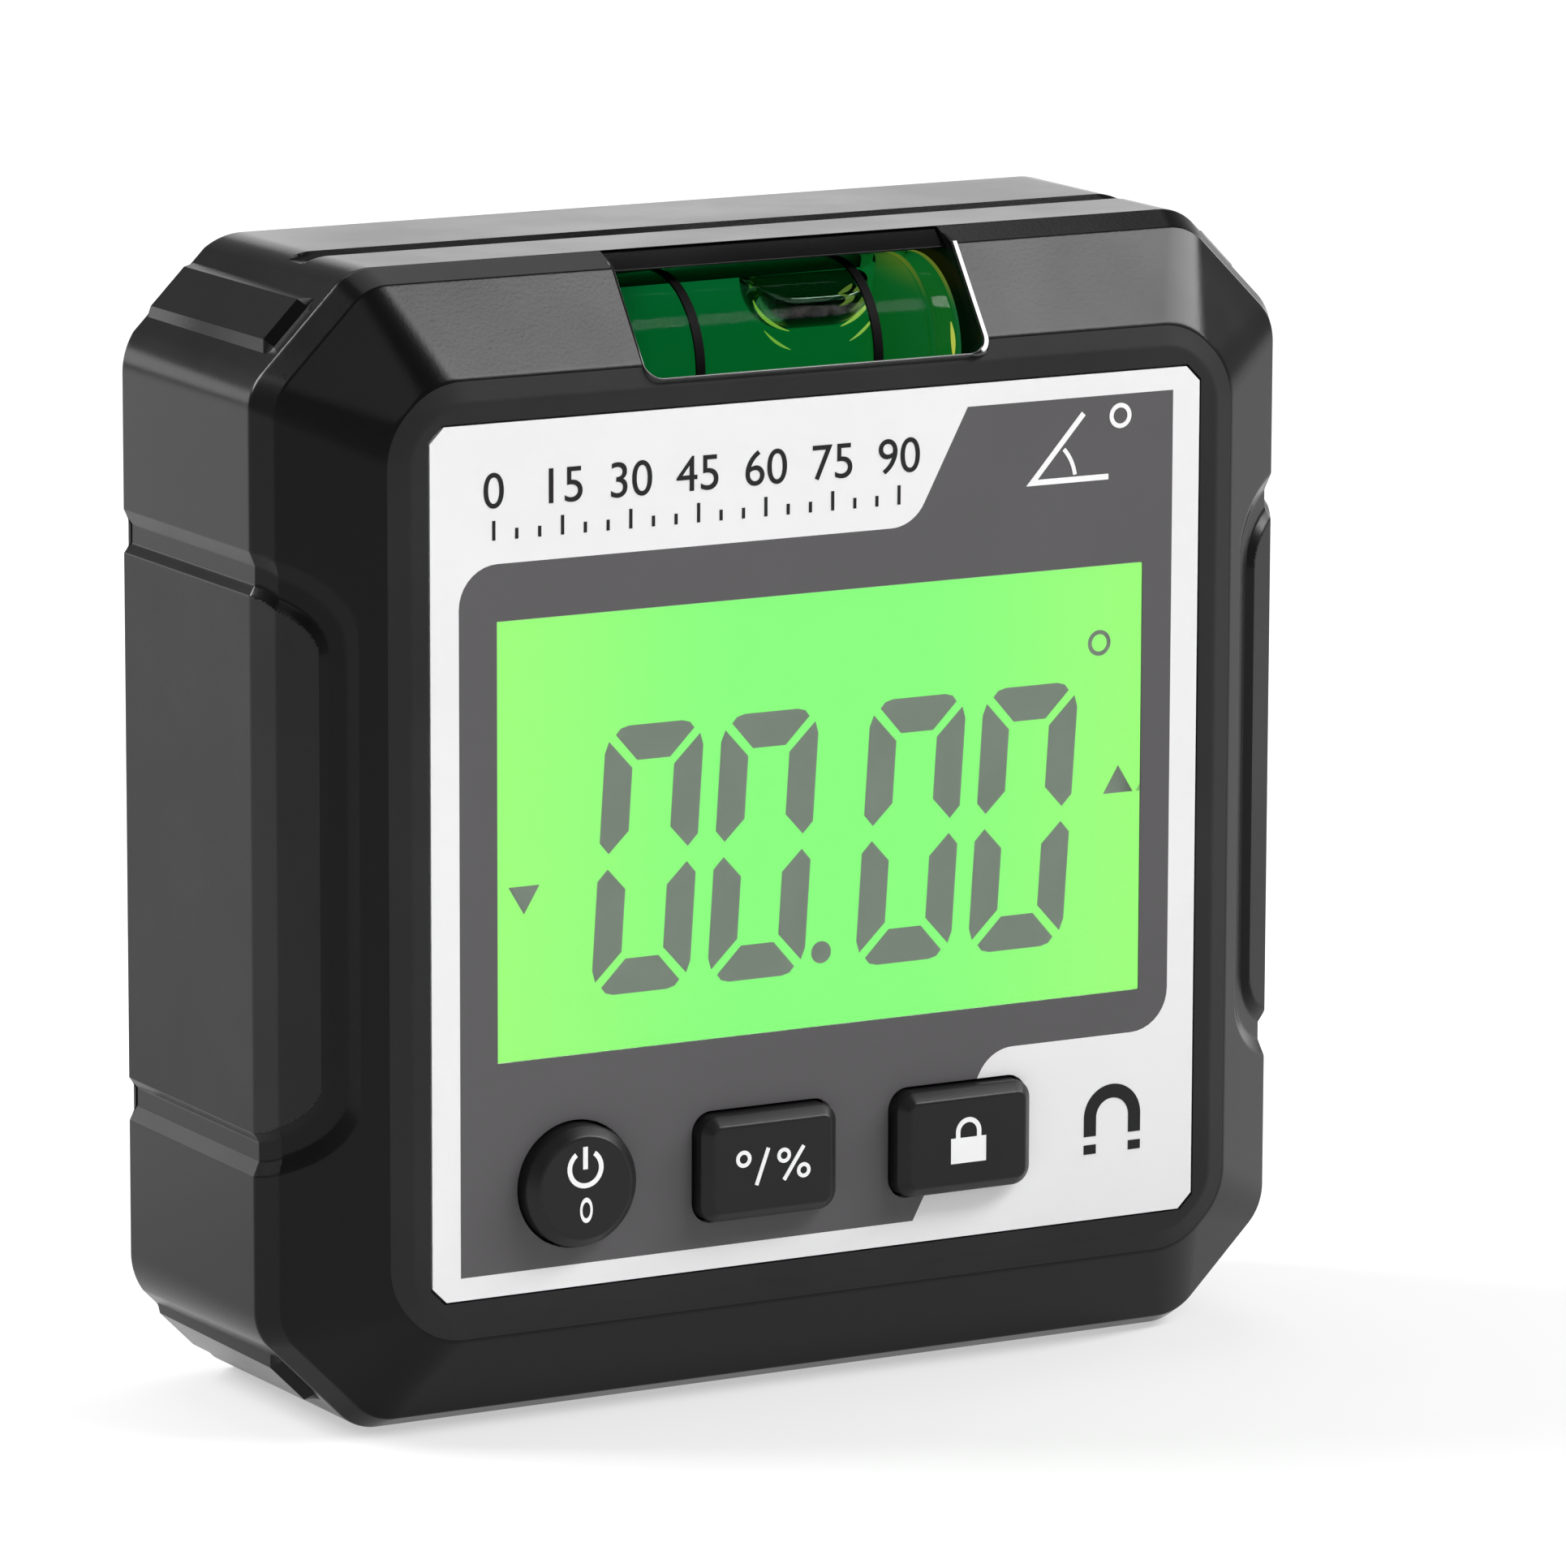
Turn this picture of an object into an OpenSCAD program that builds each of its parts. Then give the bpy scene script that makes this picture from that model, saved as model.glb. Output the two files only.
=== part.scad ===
// Digital angle gauge: a square level box with a lit display, three keys and a bubble vial.
// Millimetres. X runs right, Y runs back, Z runs up, and the base stands on Z = 0.
// Inside the modules, depth is measured back from the front face, and placed() moves it home.

/* [Body] */
// Width across the left and right faces
body_w = 60; // [54:0.5:72]
// Height from the base to the top face
body_h = 60; // [54:0.5:72]
// Leg of the 45 degree corner chamfers
corner_leg = 5.7; // [5.4:0.1:7]
// Rounding radius where a chamfer meets its faces
corner_r = 2.8; // [1:0.1:3]
// Thickness of the side walls
wall = 2; // [1.6:0.1:2.2]
// Width of the flat ring round the face plate
ring_w = 1.08; // [0.6:0.02:1.6]
// Width of the soft band outside the ring
band_w = 1.21; // [0.8:0.01:1.6]
// Fall of the soft band
band_d = 0.47; // [0.3:0.01:0.7]
// Width of the main bevel
bevel_w = 4.5; // [4:0.1:5]
// Fall of the main bevel
bevel_d = 3.26; // [2.8:0.02:3.8]
// Width of the rim chamfer
rim_w = 0.72; // [0.4:0.02:1]
// Fall of the rim chamfer
rim_d = 1.47; // [1:0.01:2]
// Chamfer of the back edge
back_edge = 0.4; // [0.2:0.05:0.6]

/* [Grips] */
// Height of the grip pad on each side face
grip_h = 27.6; // [20:0.2:34]
// Width of the groove above and below the pad
grip_groove_w = 2.3; // [1.4:0.1:3]
// Width of the groove in front of the pad, where it lies on the bevel
grip_front_w = 1.2; // [0.8:0.05:1.4]
// Distance of the pad's front edge behind the front face
grip_front = 2.45; // [2.2:0.05:4]
// Rounding radius of the pad's front corners
grip_r = 3; // [1:0.1:5]
// Depth of the grooves in the side and top faces
groove_d = 0.35; // [0.2:0.01:0.5]
// Distance of the top face's groove behind the front face
top_groove_y = 9.9; // [8:0.1:13]
// Width of the top face's groove
top_groove_w = 2; // [1:0.1:3]
// Width of the raised plate on each corner chamfer
corner_plate_w = 3.7; // [2.5:0.1:4.5]
// Height of the raised plate above its chamfer
corner_plate_t = 0.5; // [0.3:0.05:0.8]
// Distance of the raised plate behind the rim
corner_plate_gap = 0.9; // [0.5:0.1:3]

/* [Face] */
// Thickness of the face plate
face_t = 0.6; // [0.5:0.05:0.9]
// Corner chamfer of the face plate
face_corner = 0.8; // [0.4:0.1:1.5]
// Thickness of the front wall behind the face plate
front_wall = 1.6; // [1.2:0.1:1.8]
// Distance from the face plate's left edge to the display window
window_left = 3.75; // [3:0.05:5]
// Distance from the face plate's right edge to the display window
window_right = 3.35; // [3:0.05:5]
// Distance from the face plate's upper edge to the display window
window_above = 10.1; // [9.5:0.1:12]
// Distance from the face plate's lower edge to the display window
window_below = 12.1; // [12:0.1:14]

/* [Print] */
// Thickness of the dark field inlaid in the face plate
field_t = 0.1; // [0.05:0.05:0.2]
// White border left and right of the field
field_side = 1.6; // [1:0.05:2]
// White border above and below the field
field_edge = 1.17; // [0.8:0.01:1.6]
// Height of the white header beside the field's raised part
header_h = 7.15; // [6:0.05:8]
// Height of the white footer beside the keys
footer_h = 9.85; // [9:0.05:10.5]
// Lean of the field's two slanted edges
field_lean = 28; // [15:1:40]
// Place where the upper slanted edge meets the top of the field
field_upper_x = 8.55; // [4:0.05:12]
// Place where the lower slanted edge meets the bottom of the field
field_lower_x = 5.55; // [2:0.05:8]
// Rounding radius of the field's corners
field_r = 2.2; // [1:0.1:3]

/* [Display] */
// Thickness of each of the two display glasses
glass_t = 1; // [0.7:0.05:1.1]
// Margin of the glass beyond the window, on three sides
glass_margin = 1.5; // [1:0.1:1.6]
// Height of the contact ledge along the lower edge of the front glass
glass_ledge = 2.2; // [1.8:0.1:2.3]
// Thickness of the backlight panel
light_t = 1.8; // [1.4:0.1:2.4]
// Thickness of the contact strip under the ledge
strip_t = 1.5; // [1:0.1:1.7]
// Distance of the contact strip's ends from the ends of the glass
strip_inset = 1.95; // [1:0.05:4]

/* [Keys] */
// Diameter of the round power key
power_d = 6.4; // [5:0.1:7]
// Width of the two oblong keys
key_w = 8; // [6:0.1:9]
// Height of the two oblong keys
key_h = 5.6; // [4.5:0.1:6.4]
// Corner radius of the two oblong keys
key_r = 1; // [0.6:0.1:1.8]
// Place of the power key right of the middle
power_x = -14.3; // [-15:0.1:-13]
// Place of the unit key right of the middle
unit_x = -3.4; // [-4:0.1:-3]
// Place of the hold key right of the middle
hold_x = 8.2; // [7.5:0.1:9]
// Height of the keys' middle above the face plate's lower edge
key_rise = 5.4; // [4.8:0.1:5.6]
// Height of the keys above the face plate
key_proud = 1.2; // [0.8:0.1:1.6]
// Edge bevel of the keys
key_bevel = 0.55; // [0.3:0.05:0.7]
// Travel of a key when it is pressed
key_travel = 0.4; // [0.2:0.05:0.4]
// Gap between a key and its hole
key_gap = 0.15; // [0.1:0.01:0.3]
// Thickness of the flange that holds a key in
flange_t = 0.6; // [0.4:0.05:0.7]
// Reach of the flange beyond the key
flange_reach = 0.7; // [0.5:0.05:0.9]
// Side of a switch body
switch_w = 4.5; // [3.5:0.1:5]
// Diameter of a switch plunger
plunger_d = 2; // [1.4:0.1:2.6]

/* [Board] */
// Thickness of the main board
board_t = 1; // [0.8:0.1:1.6]
// Gap between the side walls and the board, and the walls and the battery bay
side_gap = 2.5; // [2:0.1:3]
// Distance of the board screws from the edges of the board
board_screw_inset = 2.3; // [2:0.1:2.6]
// Diameter of the board screws' shank
board_screw_d = 1.6; // [1.4:0.1:1.8]
// Diameter of the board screws' head
board_head_d = 3; // [2.6:0.1:3.2]
// Height of the board screws' head
board_head_h = 1; // [0.7:0.1:1.2]

/* [Vial] */
// Outer diameter of the vial tube
vial_d = 9.5; // [8.8:0.1:9.8]
// Bore of the vial tube
vial_bore = 7.4; // [6:0.1:7.8]
// Length of the vial tube
vial_len = 20; // [18:0.5:20]
// Offset of the vial right of the middle
vial_x = -0.9; // [-1.2:0.1:-0.8]
// Depth of the vial under the bevel
vial_sink = 0.7; // [0.5:0.05:1]
// Distance between the two reading rings
vial_ring_pitch = 10.4; // [8:0.1:12]
// Width of a reading ring's groove
vial_ring_w = 0.5; // [0.3:0.05:0.8]
// Depth of a reading ring's groove
vial_ring_d = 0.2; // [0.1:0.05:0.4]
// Offset of the vial window right of the middle
vial_window_x = -0.25; // [-0.5:0.05:0]
// Width of the vial window
vial_window_w = 19.7; // [17:0.1:19.9]
// Height of the vial window along the bevel
vial_window_h = 7.85; // [7:0.05:8]
// Corner radius of the vial window
vial_window_r = 0.9; // [0.4:0.1:1.5]
// Length of the air bubble
bubble_len = 7.3; // [5:0.1:9]
// Diameter of the air bubble
bubble_d = 3.6; // [3:0.1:4.4]
// Offset of the bubble right of the vial's middle
bubble_x = 2.3; // [0:0.1:3]

/* [Power] */
// Diameter of a battery cell
cell_d = 10.5; // [10:0.1:11]
// Wall of the battery bay
bay_wall = 1; // [0.8:0.1:1.2]
// Gap between the lower screw posts and the battery bay
bay_rise = 0.8; // [0.5:0.1:1.2]
// Thickness of the sheet contacts
contact_t = 0.3; // [0.2:0.05:0.5]
// Side of a sheet contact
contact_w = 8.4; // [6:0.1:9]
// Wire diameter of the battery springs
spring_wire = 0.6; // [0.4:0.05:0.8]
// Length of a battery spring with its cell in place
spring_len = 3.4; // [2.6:0.1:4]

/* [Back] */
// Thickness of the rear cover
cover_t = 1.9; // [1.6:0.1:2.2]
// Width of the lip round the rear cover
cover_lip = 1; // [0.9:0.05:1.2]
// Thickness of the battery door
door_t = 1.2; // [1:0.05:1.4]
// Width of the door's screw tab
door_tab_w = 10; // [8:0.5:14]
// Diameter of the housing's screw posts
post_d = 5; // [4.4:0.1:5.2]
// Distance of the screw posts from the faces beside them
post_inset = 6.5; // [6.4:0.1:6.6]
// Shank diameter of the case screws
case_screw_d = 2; // [1.6:0.1:2.2]
// Head diameter of the case screws
case_head_d = 3.8; // [3.4:0.1:4]
// Head height of the case screws
case_head_h = 1.4; // [1:0.1:1.5]
// Length of the case screws under the head
case_screw_len = 8; // [6:0.5:10]
// Length of the battery door's screw under the head
door_screw_len = 6; // [4:0.5:7]

/* [Base] */
// Diameter of the base magnets
magnet_d = 8; // [6:0.1:9]
// Thickness of the base magnets
magnet_t = 2.8; // [2:0.1:3.5]
// Distance of a magnet from the middle
magnet_x = 13; // [8:0.5:14]

/* [Fits] */
// Gap round a piece that is set in place by hand
fit = 0.1; // [0.05:0.01:0.2]
// Gap behind a film or a glued face
film = 0.05; // [0.02:0.01:0.1]

/* [Hidden] */
$fn = 48;
// Overshoot of a cut beyond the face that it opens
over = 1;

// Colours
black = "#1b1b1d";
key_black = "#2a2a2c";
plate_white = "#e9e9ea";
field_grey = "#605f61";
panel_white = "#f2f4ef";
clear = [0.85, 0.95, 0.88, 0.35];
lit_green = "#8cff7e";
liquid_green = [0.05, 0.45, 0.16, 0.75];
board_green = "#1f6b3a";
steel = "#b9bcc0";
chip_black = "#222426";
cell_blue = "#3b4a63";
gold = "#c9a94f";
strip_grey = "#5a5d63";

// Front profile: how far it lies inside the outline, and how far back
front_inset = band_w + bevel_w + rim_w;
bevel_y = band_d + bevel_d;
side_y = bevel_y + rim_d;
bevel_run = norm([bevel_w, bevel_d]);
bevel_tilt = atan2(bevel_d, bevel_w);
// Fall that keeps an inner skin as far from the bevel as from the side face
skin_fall = (bevel_run - bevel_d) / bevel_w;
// Steps of each rounding in the outline, and of each rounding in the print
arc_steps = 9;

// Depth stack, back from the front face
wall_y = face_t + front_wall;
glass_y = face_t + film;
light_y = glass_y + 2 * glass_t + film;
board_y = light_y + light_t + fit;
board_back = board_y + board_t;
head_room = 0.3;
bay_y = board_back + board_head_h + head_room;
bay_floor = 0.8;
cell_y = bay_y + bay_floor + film + cell_d / 2;
door_room = 0.15;
cover_y = cell_y + cell_d / 2 + door_room;
body_d = cover_y + cover_t;
// The frame's origin lies halfway between the keys' fronts and the back
front_y = -(body_d - key_proud) / 2;

// Face and window
face_w = body_w - 2 * (front_inset + ring_w);
face_h = body_h - 2 * (front_inset + ring_w);
mid_z = body_h / 2;
face_low = mid_z - face_h / 2;
face_high = mid_z + face_h / 2;
window_w = face_w - window_left - window_right;
window_h = face_h - window_above - window_below;
window_x = (window_left - window_right) / 2;
window_z = mid_z + (window_below - window_above) / 2;

// Display
glass_w = window_w + 2 * glass_margin;
glass_top = window_z + window_h / 2 + glass_margin;
rear_glass_low = window_z - window_h / 2 - film;
glass_low = rear_glass_low - glass_ledge;
strip_len = glass_w - 2 * strip_inset;
lamp_size = [1.2, 1.4, 3.2];

// Keys
key_z = face_low + key_rise;
// First step of the keys' eased edge
key_ease = key_bevel / 3;
flange_y = wall_y + fit;
plunger_y = flange_y + flange_t;
switch_y = plunger_y + key_travel + fit;
// Length of a plunger that stays inside its switch
plunger_bite = 0.6;
plunger_len = key_travel + fit + plunger_bite;
switch_floor = 0.15;

// Board: it lies between the lower screw posts and the vial
post_gap = 0.5;
vial_gap = 0.9;
boss_wall = 1;
board_w = body_w - 2 * (wall + side_gap);
board_low = post_inset + post_d / 2 + post_gap;
board_top = vial_z() - vial_d / 2 - vial_gap;
board_screw_x = board_w / 2 - board_screw_inset;
board_screw_z = [board_low + board_screw_inset, board_top - board_screw_inset];
board_boss_d = board_screw_d + 2 * boss_wall;
// Size of the chips, and the drop of their middle under the board's upper edge
chip_drop = 7.2;
sensor_size = [5, 5, 1];
sensor_at = [8, board_top - chip_drop];
chip_size = [10, 10, 1.2];
chip_at = [-8, board_top - chip_drop];

// Vial: its axis lies on the normal from the middle of the top bevel
function vial_y() = band_d + bevel_d / 2 + (vial_d / 2 + vial_sink) * cos(bevel_tilt);
function vial_z() = body_h - rim_w - bevel_w / 2 - (vial_d / 2 + vial_sink) * sin(bevel_tilt);
vial_left = vial_x - vial_len / 2;
vial_right = vial_x + vial_len / 2;
vial_end = 1;
plug_len = 1.5;
cradle_wall = 1.2;
cradle_floor = 0.4;
cradle_low = vial_z() - vial_d / 2 - cradle_floor;
retainer_t = 1.6;
retainer_back = vial_y() + vial_d / 2 + retainer_t;
// Top edge of the window: along the bevel from the vial's axis to the top face's front edge
window_top = (side_y - vial_y()) * sin(bevel_tilt) + (body_h - vial_z()) * cos(bevel_tilt);

// Battery bay: it fills the width, and the cells fill the bay
dimple_d = 3;
dimple_h = 0.4;
nub_d = 3.8;
nub_h = 0.8;
cell_gap = 0.4;
bay_len = body_w - 2 * (wall + side_gap + bay_wall);
cell_len = bay_len - spring_len - 2 * contact_t - dimple_h - 2 * film;
bay_h = 2 * cell_d + 3 * cell_gap;
bay_z = post_inset + post_d / 2 + bay_rise + bay_wall + bay_h / 2;
bay_x = bay_len / 2;
cell_pitch = cell_d + cell_gap;
upper_z = bay_z + cell_pitch / 2;
lower_z = bay_z - cell_pitch / 2;
tail_w = 2.4;
spring_base_d = 7;
spring_tip_d = 4.6;
spring_turns = 3.5;

// Back
collar_h = 1;
post_end = cover_y - collar_h;
post_x = body_w / 2 - post_inset;
post_z = [post_inset, body_h - post_inset];
head_sink = 0.2;
counterbore = case_head_h + head_sink;
door_ledge = 0.8;
door_y = body_d - door_t;
door_low = bay_z - bay_h / 2 - door_ledge;
door_high = bay_z + bay_h / 2 + door_ledge;
door_w = bay_len + 2 * door_ledge;
door_tab_h = 6.4;
door_tab_t = 2.2;
door_screw_z = door_high + door_tab_h / 2;
tongue_w = 6;
tongue_t = 0.9;
tongue_x = 12;
tongue_reach = 1.3;
cup_wall = 1;
cup_floor = 1.2;
cup_y = body_d - door_tab_t - cup_floor;
// Grip lines on the door: number, length, width, pitch and height above the door's lower edge
grip_lines = 4;
grip_line_len = 12;
grip_line_w = 0.7;
grip_line_pitch = 1.4;
grip_line_rise = 2;
// Cross slots of the screws, as shares of the head's diameter
slot_width_share = 0.2;
slot_length_share = 0.62;

// Base
magnet_y = (side_y + body_d - back_edge) / 2;
magnet_recess = 0.1;
magnet_wall = 1.3;
magnet_boss_d = magnet_d + 2 * magnet_wall;
magnet_roof = 1.2;

// Moves depth from the front face into the part's own frame
module placed() {
    translate([0, front_y, 0]) children();
}

// Extrudes an outline drawn in X and Z from one depth to another
module along_y(from, to) {
    translate([0, to, 0]) rotate([90, 0, 0]) linear_extrude(to - from) children();
}

// Round bar along Y
module bar_y(x, z, d, from, to) {
    translate([x, from, z]) rotate([-90, 0, 0]) cylinder(d = d, h = to - from);
}

// Round bar along X
module bar_x(from, to, y, z, d) {
    translate([from, y, z]) rotate([0, 90, 0]) cylinder(d = d, h = to - from);
}

// Rectangle with round corners, centred
module round_rect(w, h, r) {
    square([w - 2 * r, h], center = true);
    square([w, h - 2 * r], center = true);
    for (x = [-1, 1], z = [-1, 1]) {
        translate([x * (w / 2 - r), z * (h / 2 - r)]) circle(r);
    }
}

// Distance of the octagon's edge k from the middle; edge 0 faces right, edge 2 faces up
function edge_reach(k) =
    k % 4 == 0 ? body_w / 2
    : k % 4 == 2 ? body_h / 2
    : (body_w + body_h - 2 * corner_leg) / (2 * sqrt(2));

// Middle of the rounding between edge k and the next edge, for an outline lying inset inside
function arc_middle(k, inset) =
    let (near = edge_reach(k) - inset - corner_r, next = edge_reach(k + 1) - inset - corner_r)
    near * [cos(45 * k), sin(45 * k)]
    + (next - near * cos(45)) / sin(45) * [-sin(45 * k), cos(45 * k)];

// The body's outline, a rounded octagon lying inset inside the faces
function outline(inset) = [
    for (k = [0:7], j = [0:arc_steps])
        let (turn = 45 * (k + j / arc_steps))
        arc_middle(k, inset) + corner_r * [cos(turn), sin(turn)]
];

// Front-to-back profile of a skin lying depth d under the body's surface: inset and depth
function skin_profile(d) = [
    [front_inset + d, d * skin_fall],
    [bevel_w + rim_w + d, band_d + d * skin_fall],
    [rim_w + d, bevel_y + d * skin_fall],
    [d, side_y + d * skin_fall],
    [d, body_d - back_edge],
    [back_edge + d, body_d]
];

// The room's profile: the skin under the walls, begun at the back of the front wall
function room_profile() =
    let (skin = skin_profile(wall), part = (wall_y - skin[1][1]) / (skin[2][1] - skin[1][1]))
    [skin[1] + part * (skin[2] - skin[1]), skin[2], skin[3], [wall, cover_y + over]];

// Solid lofted through the outline at each step of a profile
module loft(profile) {
    n = len(outline(0));
    last = len(profile) - 1;
    points = [
        for (step = profile, p = outline(step[0])) [p[0], step[1], p[1] + mid_z]
    ];
    sides = [
        for (s = [0:last - 1], i = [0:n - 1])
            let (a = s * n + i, b = s * n + (i + 1) % n)
            [a, b, b + n, a + n]
    ];
    front = [for (i = [n - 1:-1:0]) i];
    back = [for (i = [0:n - 1]) last * n + i];
    polyhedron(points, concat([front], sides, [back]), convexity = 6);
}

// Outline of a grip pad seen from the side, open to the back, grown in front and beside
module grip_outline(grow_front, grow_side) {
    front = grip_front - grow_front;
    half = grip_h / 2 + grow_side;
    r = grip_r + grow_front;
    translate([front + r, -half]) square([body_d + over - front - r, 2 * half]);
    translate([front, r - half]) square([r + over, 2 * (half - r)]);
    for (z = [-1, 1]) translate([front + r, z * (half - r)]) circle(r);
}

// Groove round the grip pads, down to a skin groove_d under the surface
module grip_grooves() {
    difference() {
        for (side = [-1, 1]) {
            translate([side * body_w / 2, 0, mid_z]) rotate([90, 0, 90])
                linear_extrude(2 * bevel_w, center = true) difference() {
                    grip_outline(grip_front_w, grip_groove_w);
                    grip_outline(0, 0);
                }
        }
        loft(skin_profile(groove_d));
    }
}

// Raised plates on the corner chamfers, with bevelled sides and front
module corner_plates() {
    start = side_y + corner_plate_gap;
    root = 0.6;
    for (turn = [45:90:315]) {
        reach = edge_reach(1);
        translate([0, 0, mid_z]) rotate([0, -turn, 0]) translate([reach, 0, 0]) hull() {
            translate([-root, start, -corner_plate_w / 2])
                cube([root, body_d - back_edge - start, corner_plate_w]);
            translate([0, start + corner_plate_t, corner_plate_t - corner_plate_w / 2])
                cube([corner_plate_t, body_d - back_edge - start - corner_plate_t,
                    corner_plate_w - 2 * corner_plate_t]);
        }
    }
}

// Outer body with its grooves and corner plates
module outer_body() {
    difference() {
        loft(skin_profile(0));
        grip_grooves();
        translate([-body_w / 2, top_groove_y, body_h - groove_d])
            cube([body_w, top_groove_w, groove_d + over]);
    }
    corner_plates();
}

// Room inside the housing, and the rebate that takes the rear cover
module housing_room() {
    loft(room_profile());
    along_y(cover_y, body_d + over) polygon([for (p = outline(cover_lip)) p + [0, mid_z]]);
}

// Posts and bosses inside the housing
module housing_posts() {
    for (x = [-post_x, post_x], z = post_z) bar_y(x, z, post_d, face_t, post_end);
    for (x = [-board_screw_x, board_screw_x], z = board_screw_z)
        bar_y(x, z, board_boss_d, face_t, board_y);
    for (x = [-magnet_x, magnet_x]) translate([x, magnet_y, wall / 2])
        cylinder(d = magnet_boss_d, h = magnet_recess + magnet_t + magnet_roof - wall / 2);
    translate([vial_left - cradle_wall, face_t, cradle_low])
        cube([vial_len + 2 * cradle_wall, vial_y() - face_t, body_h - cradle_low]);
}

// Window in the top bevel, cut along the bevel's normal down to the vial's axis
module vial_window() {
    translate([vial_window_x, vial_y(), vial_z()]) rotate([-bevel_tilt, 0, 0])
        along_y(-vial_d, 0) {
            translate([0, window_top - vial_window_h / 2])
                round_rect(vial_window_w, vial_window_h, vial_window_r);
            translate([-vial_window_w / 2, window_top - 2 * vial_window_r])
                square([vial_window_w, 2 * vial_window_r]);
        }
}

// Round seat for the vial, long enough to show the vial's right end in the window
module vial_seat() {
    window_right = vial_window_x + vial_window_w / 2;
    bar_x(vial_left - fit, max(vial_right, window_right) + fit, vial_y(), vial_z(), vial_d + 2 * fit);
}

// Outlines of the three keys, grown by grow
module power_outline(grow) {
    translate([power_x, key_z]) circle(d = power_d + 2 * grow);
}

module oblong_outline(x, grow) {
    translate([x, key_z]) round_rect(key_w + 2 * grow, key_h + 2 * grow, key_r + grow);
}

module key_holes(from, to) {
    along_y(from, to) power_outline(key_gap);
    along_y(from, to) oblong_outline(unit_x, key_gap);
    along_y(from, to) oblong_outline(hold_x, key_gap);
}

// Face plate's outline with cut corners, grown by grow
module face_outline(grow) {
    w = face_w / 2 + grow;
    h = face_h / 2 + grow;
    translate([0, mid_z]) polygon([
        for (q = [[1, 1], [-1, 1], [-1, -1], [1, -1]], flip = [0, 1])
            let (side = (q[0] * q[1] > 0) == (flip == 0))
            side ? [q[0] * w, q[1] * (h - face_corner)] : [q[0] * (w - face_corner), q[1] * h]
    ]);
}

module housing() {
    color(black) placed() difference() {
        union() {
            difference() {
                outer_body();
                housing_room();
            }
            intersection() {
                loft(skin_profile(groove_d));
                housing_posts();
            }
        }
        along_y(-over, face_t) face_outline(fit);
        translate([window_x - glass_w / 2 - fit, 0, glass_low - fit])
            cube([glass_w + 2 * fit, board_y - fit, glass_top - glass_low + 2 * fit]);
        key_holes(0, board_y);
        vial_window();
        vial_seat();
        for (x = [-post_x, post_x], z = post_z)
            bar_y(x, z, case_screw_d + fit, post_end - case_screw_len, post_end + over);
        for (x = [-board_screw_x, board_screw_x], z = board_screw_z)
            bar_y(x, z, board_screw_d + fit, wall_y, board_y + over);
        for (x = [-magnet_x, magnet_x]) translate([x, magnet_y, -over])
            cylinder(d = magnet_d + fit, h = over + magnet_recess + magnet_t + film);
    }
}

// Battery bay as a tray on the rear cover, open to the back
module battery_bay() {
    translate([-bay_x - bay_wall, bay_y, bay_z - bay_h / 2 - bay_wall])
        cube([bay_len + 2 * bay_wall, cover_y - bay_y, bay_h + 2 * bay_wall]);
}

module rear_cover() {
    color(black) placed() difference() {
        union() {
            along_y(cover_y, body_d) polygon([for (p = outline(cover_lip + fit)) p + [0, mid_z]]);
            battery_bay();
            for (x = [-post_x, post_x], z = post_z) bar_y(x, z, post_d, post_end, cover_y);
            translate([-door_tab_w / 2 - cup_wall, cup_y, door_high - cup_wall])
                cube([door_tab_w + 2 * cup_wall, cover_y - cup_y, door_tab_h + 2 * cup_wall]);
            bar_y(0, door_screw_z, post_d, post_end - case_screw_len, cup_y);
        }
        translate([-bay_x, bay_y + bay_floor, bay_z - bay_h / 2])
            cube([bay_len, body_d - bay_y, bay_h]);
        along_y(door_y, body_d + over) door_outline(fit);
        along_y(body_d - door_tab_t, body_d + over) door_tab_outline(fit);
        bar_y(0, door_screw_z, case_screw_d + fit, post_end - case_screw_len + over, body_d);
        for (x = [-tongue_x, tongue_x])
            translate([x - tongue_w / 2 - fit, door_y - tongue_t - fit, door_low - tongue_reach])
                cube([tongue_w + 2 * fit, tongue_t + fit, tongue_reach + door_ledge + over]);
        for (x = [-post_x, post_x], z = post_z) {
            bar_y(x, z, case_screw_d + 2 * fit, post_end - over, body_d);
            bar_y(x, z, case_head_d + 4 * fit, body_d - counterbore, body_d + over);
        }
        for (side = [-1, 1], z = side < 0 ? [lower_z, upper_z] : [bay_z])
            translate([side * (bay_x - contact_t / 2) - contact_t, bay_y - over, z - tail_w / 2 - fit])
                cube([2 * contact_t, bay_floor + 2 * over, tail_w + 2 * fit]);
    }
}

// Battery door: a panel with a screw tab above it
module door_outline(grow) {
    translate([0, (door_low + door_high) / 2])
        square([door_w + 2 * grow, door_high - door_low + 2 * grow], center = true);
}

module door_tab_outline(grow) {
    translate([0, door_high + door_tab_h / 2])
        square([door_tab_w + 2 * grow, door_tab_h + 2 * grow], center = true);
}

module battery_door() {
    color(black) placed() difference() {
        union() {
            along_y(door_y, body_d) door_outline(0);
            along_y(body_d - door_tab_t, body_d) door_tab_outline(0);
            for (x = [-tongue_x, tongue_x])
                translate([x - tongue_w / 2, door_y - tongue_t, door_low - tongue_reach + fit])
                    cube([tongue_w, tongue_t, tongue_reach + door_ledge]);
        }
        bar_y(0, door_screw_z, case_screw_d + 2 * fit, body_d - door_tab_t - over, body_d);
        bar_y(0, door_screw_z, case_head_d + 4 * fit, body_d - door_tab_t / 2, body_d + over);
        for (i = [0:grip_lines - 1])
            translate([-grip_line_len / 2, body_d - groove_d,
                    door_low + grip_line_rise + grip_line_pitch * i])
                cube([grip_line_len, groove_d + over, grip_line_w]);
    }
}

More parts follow.
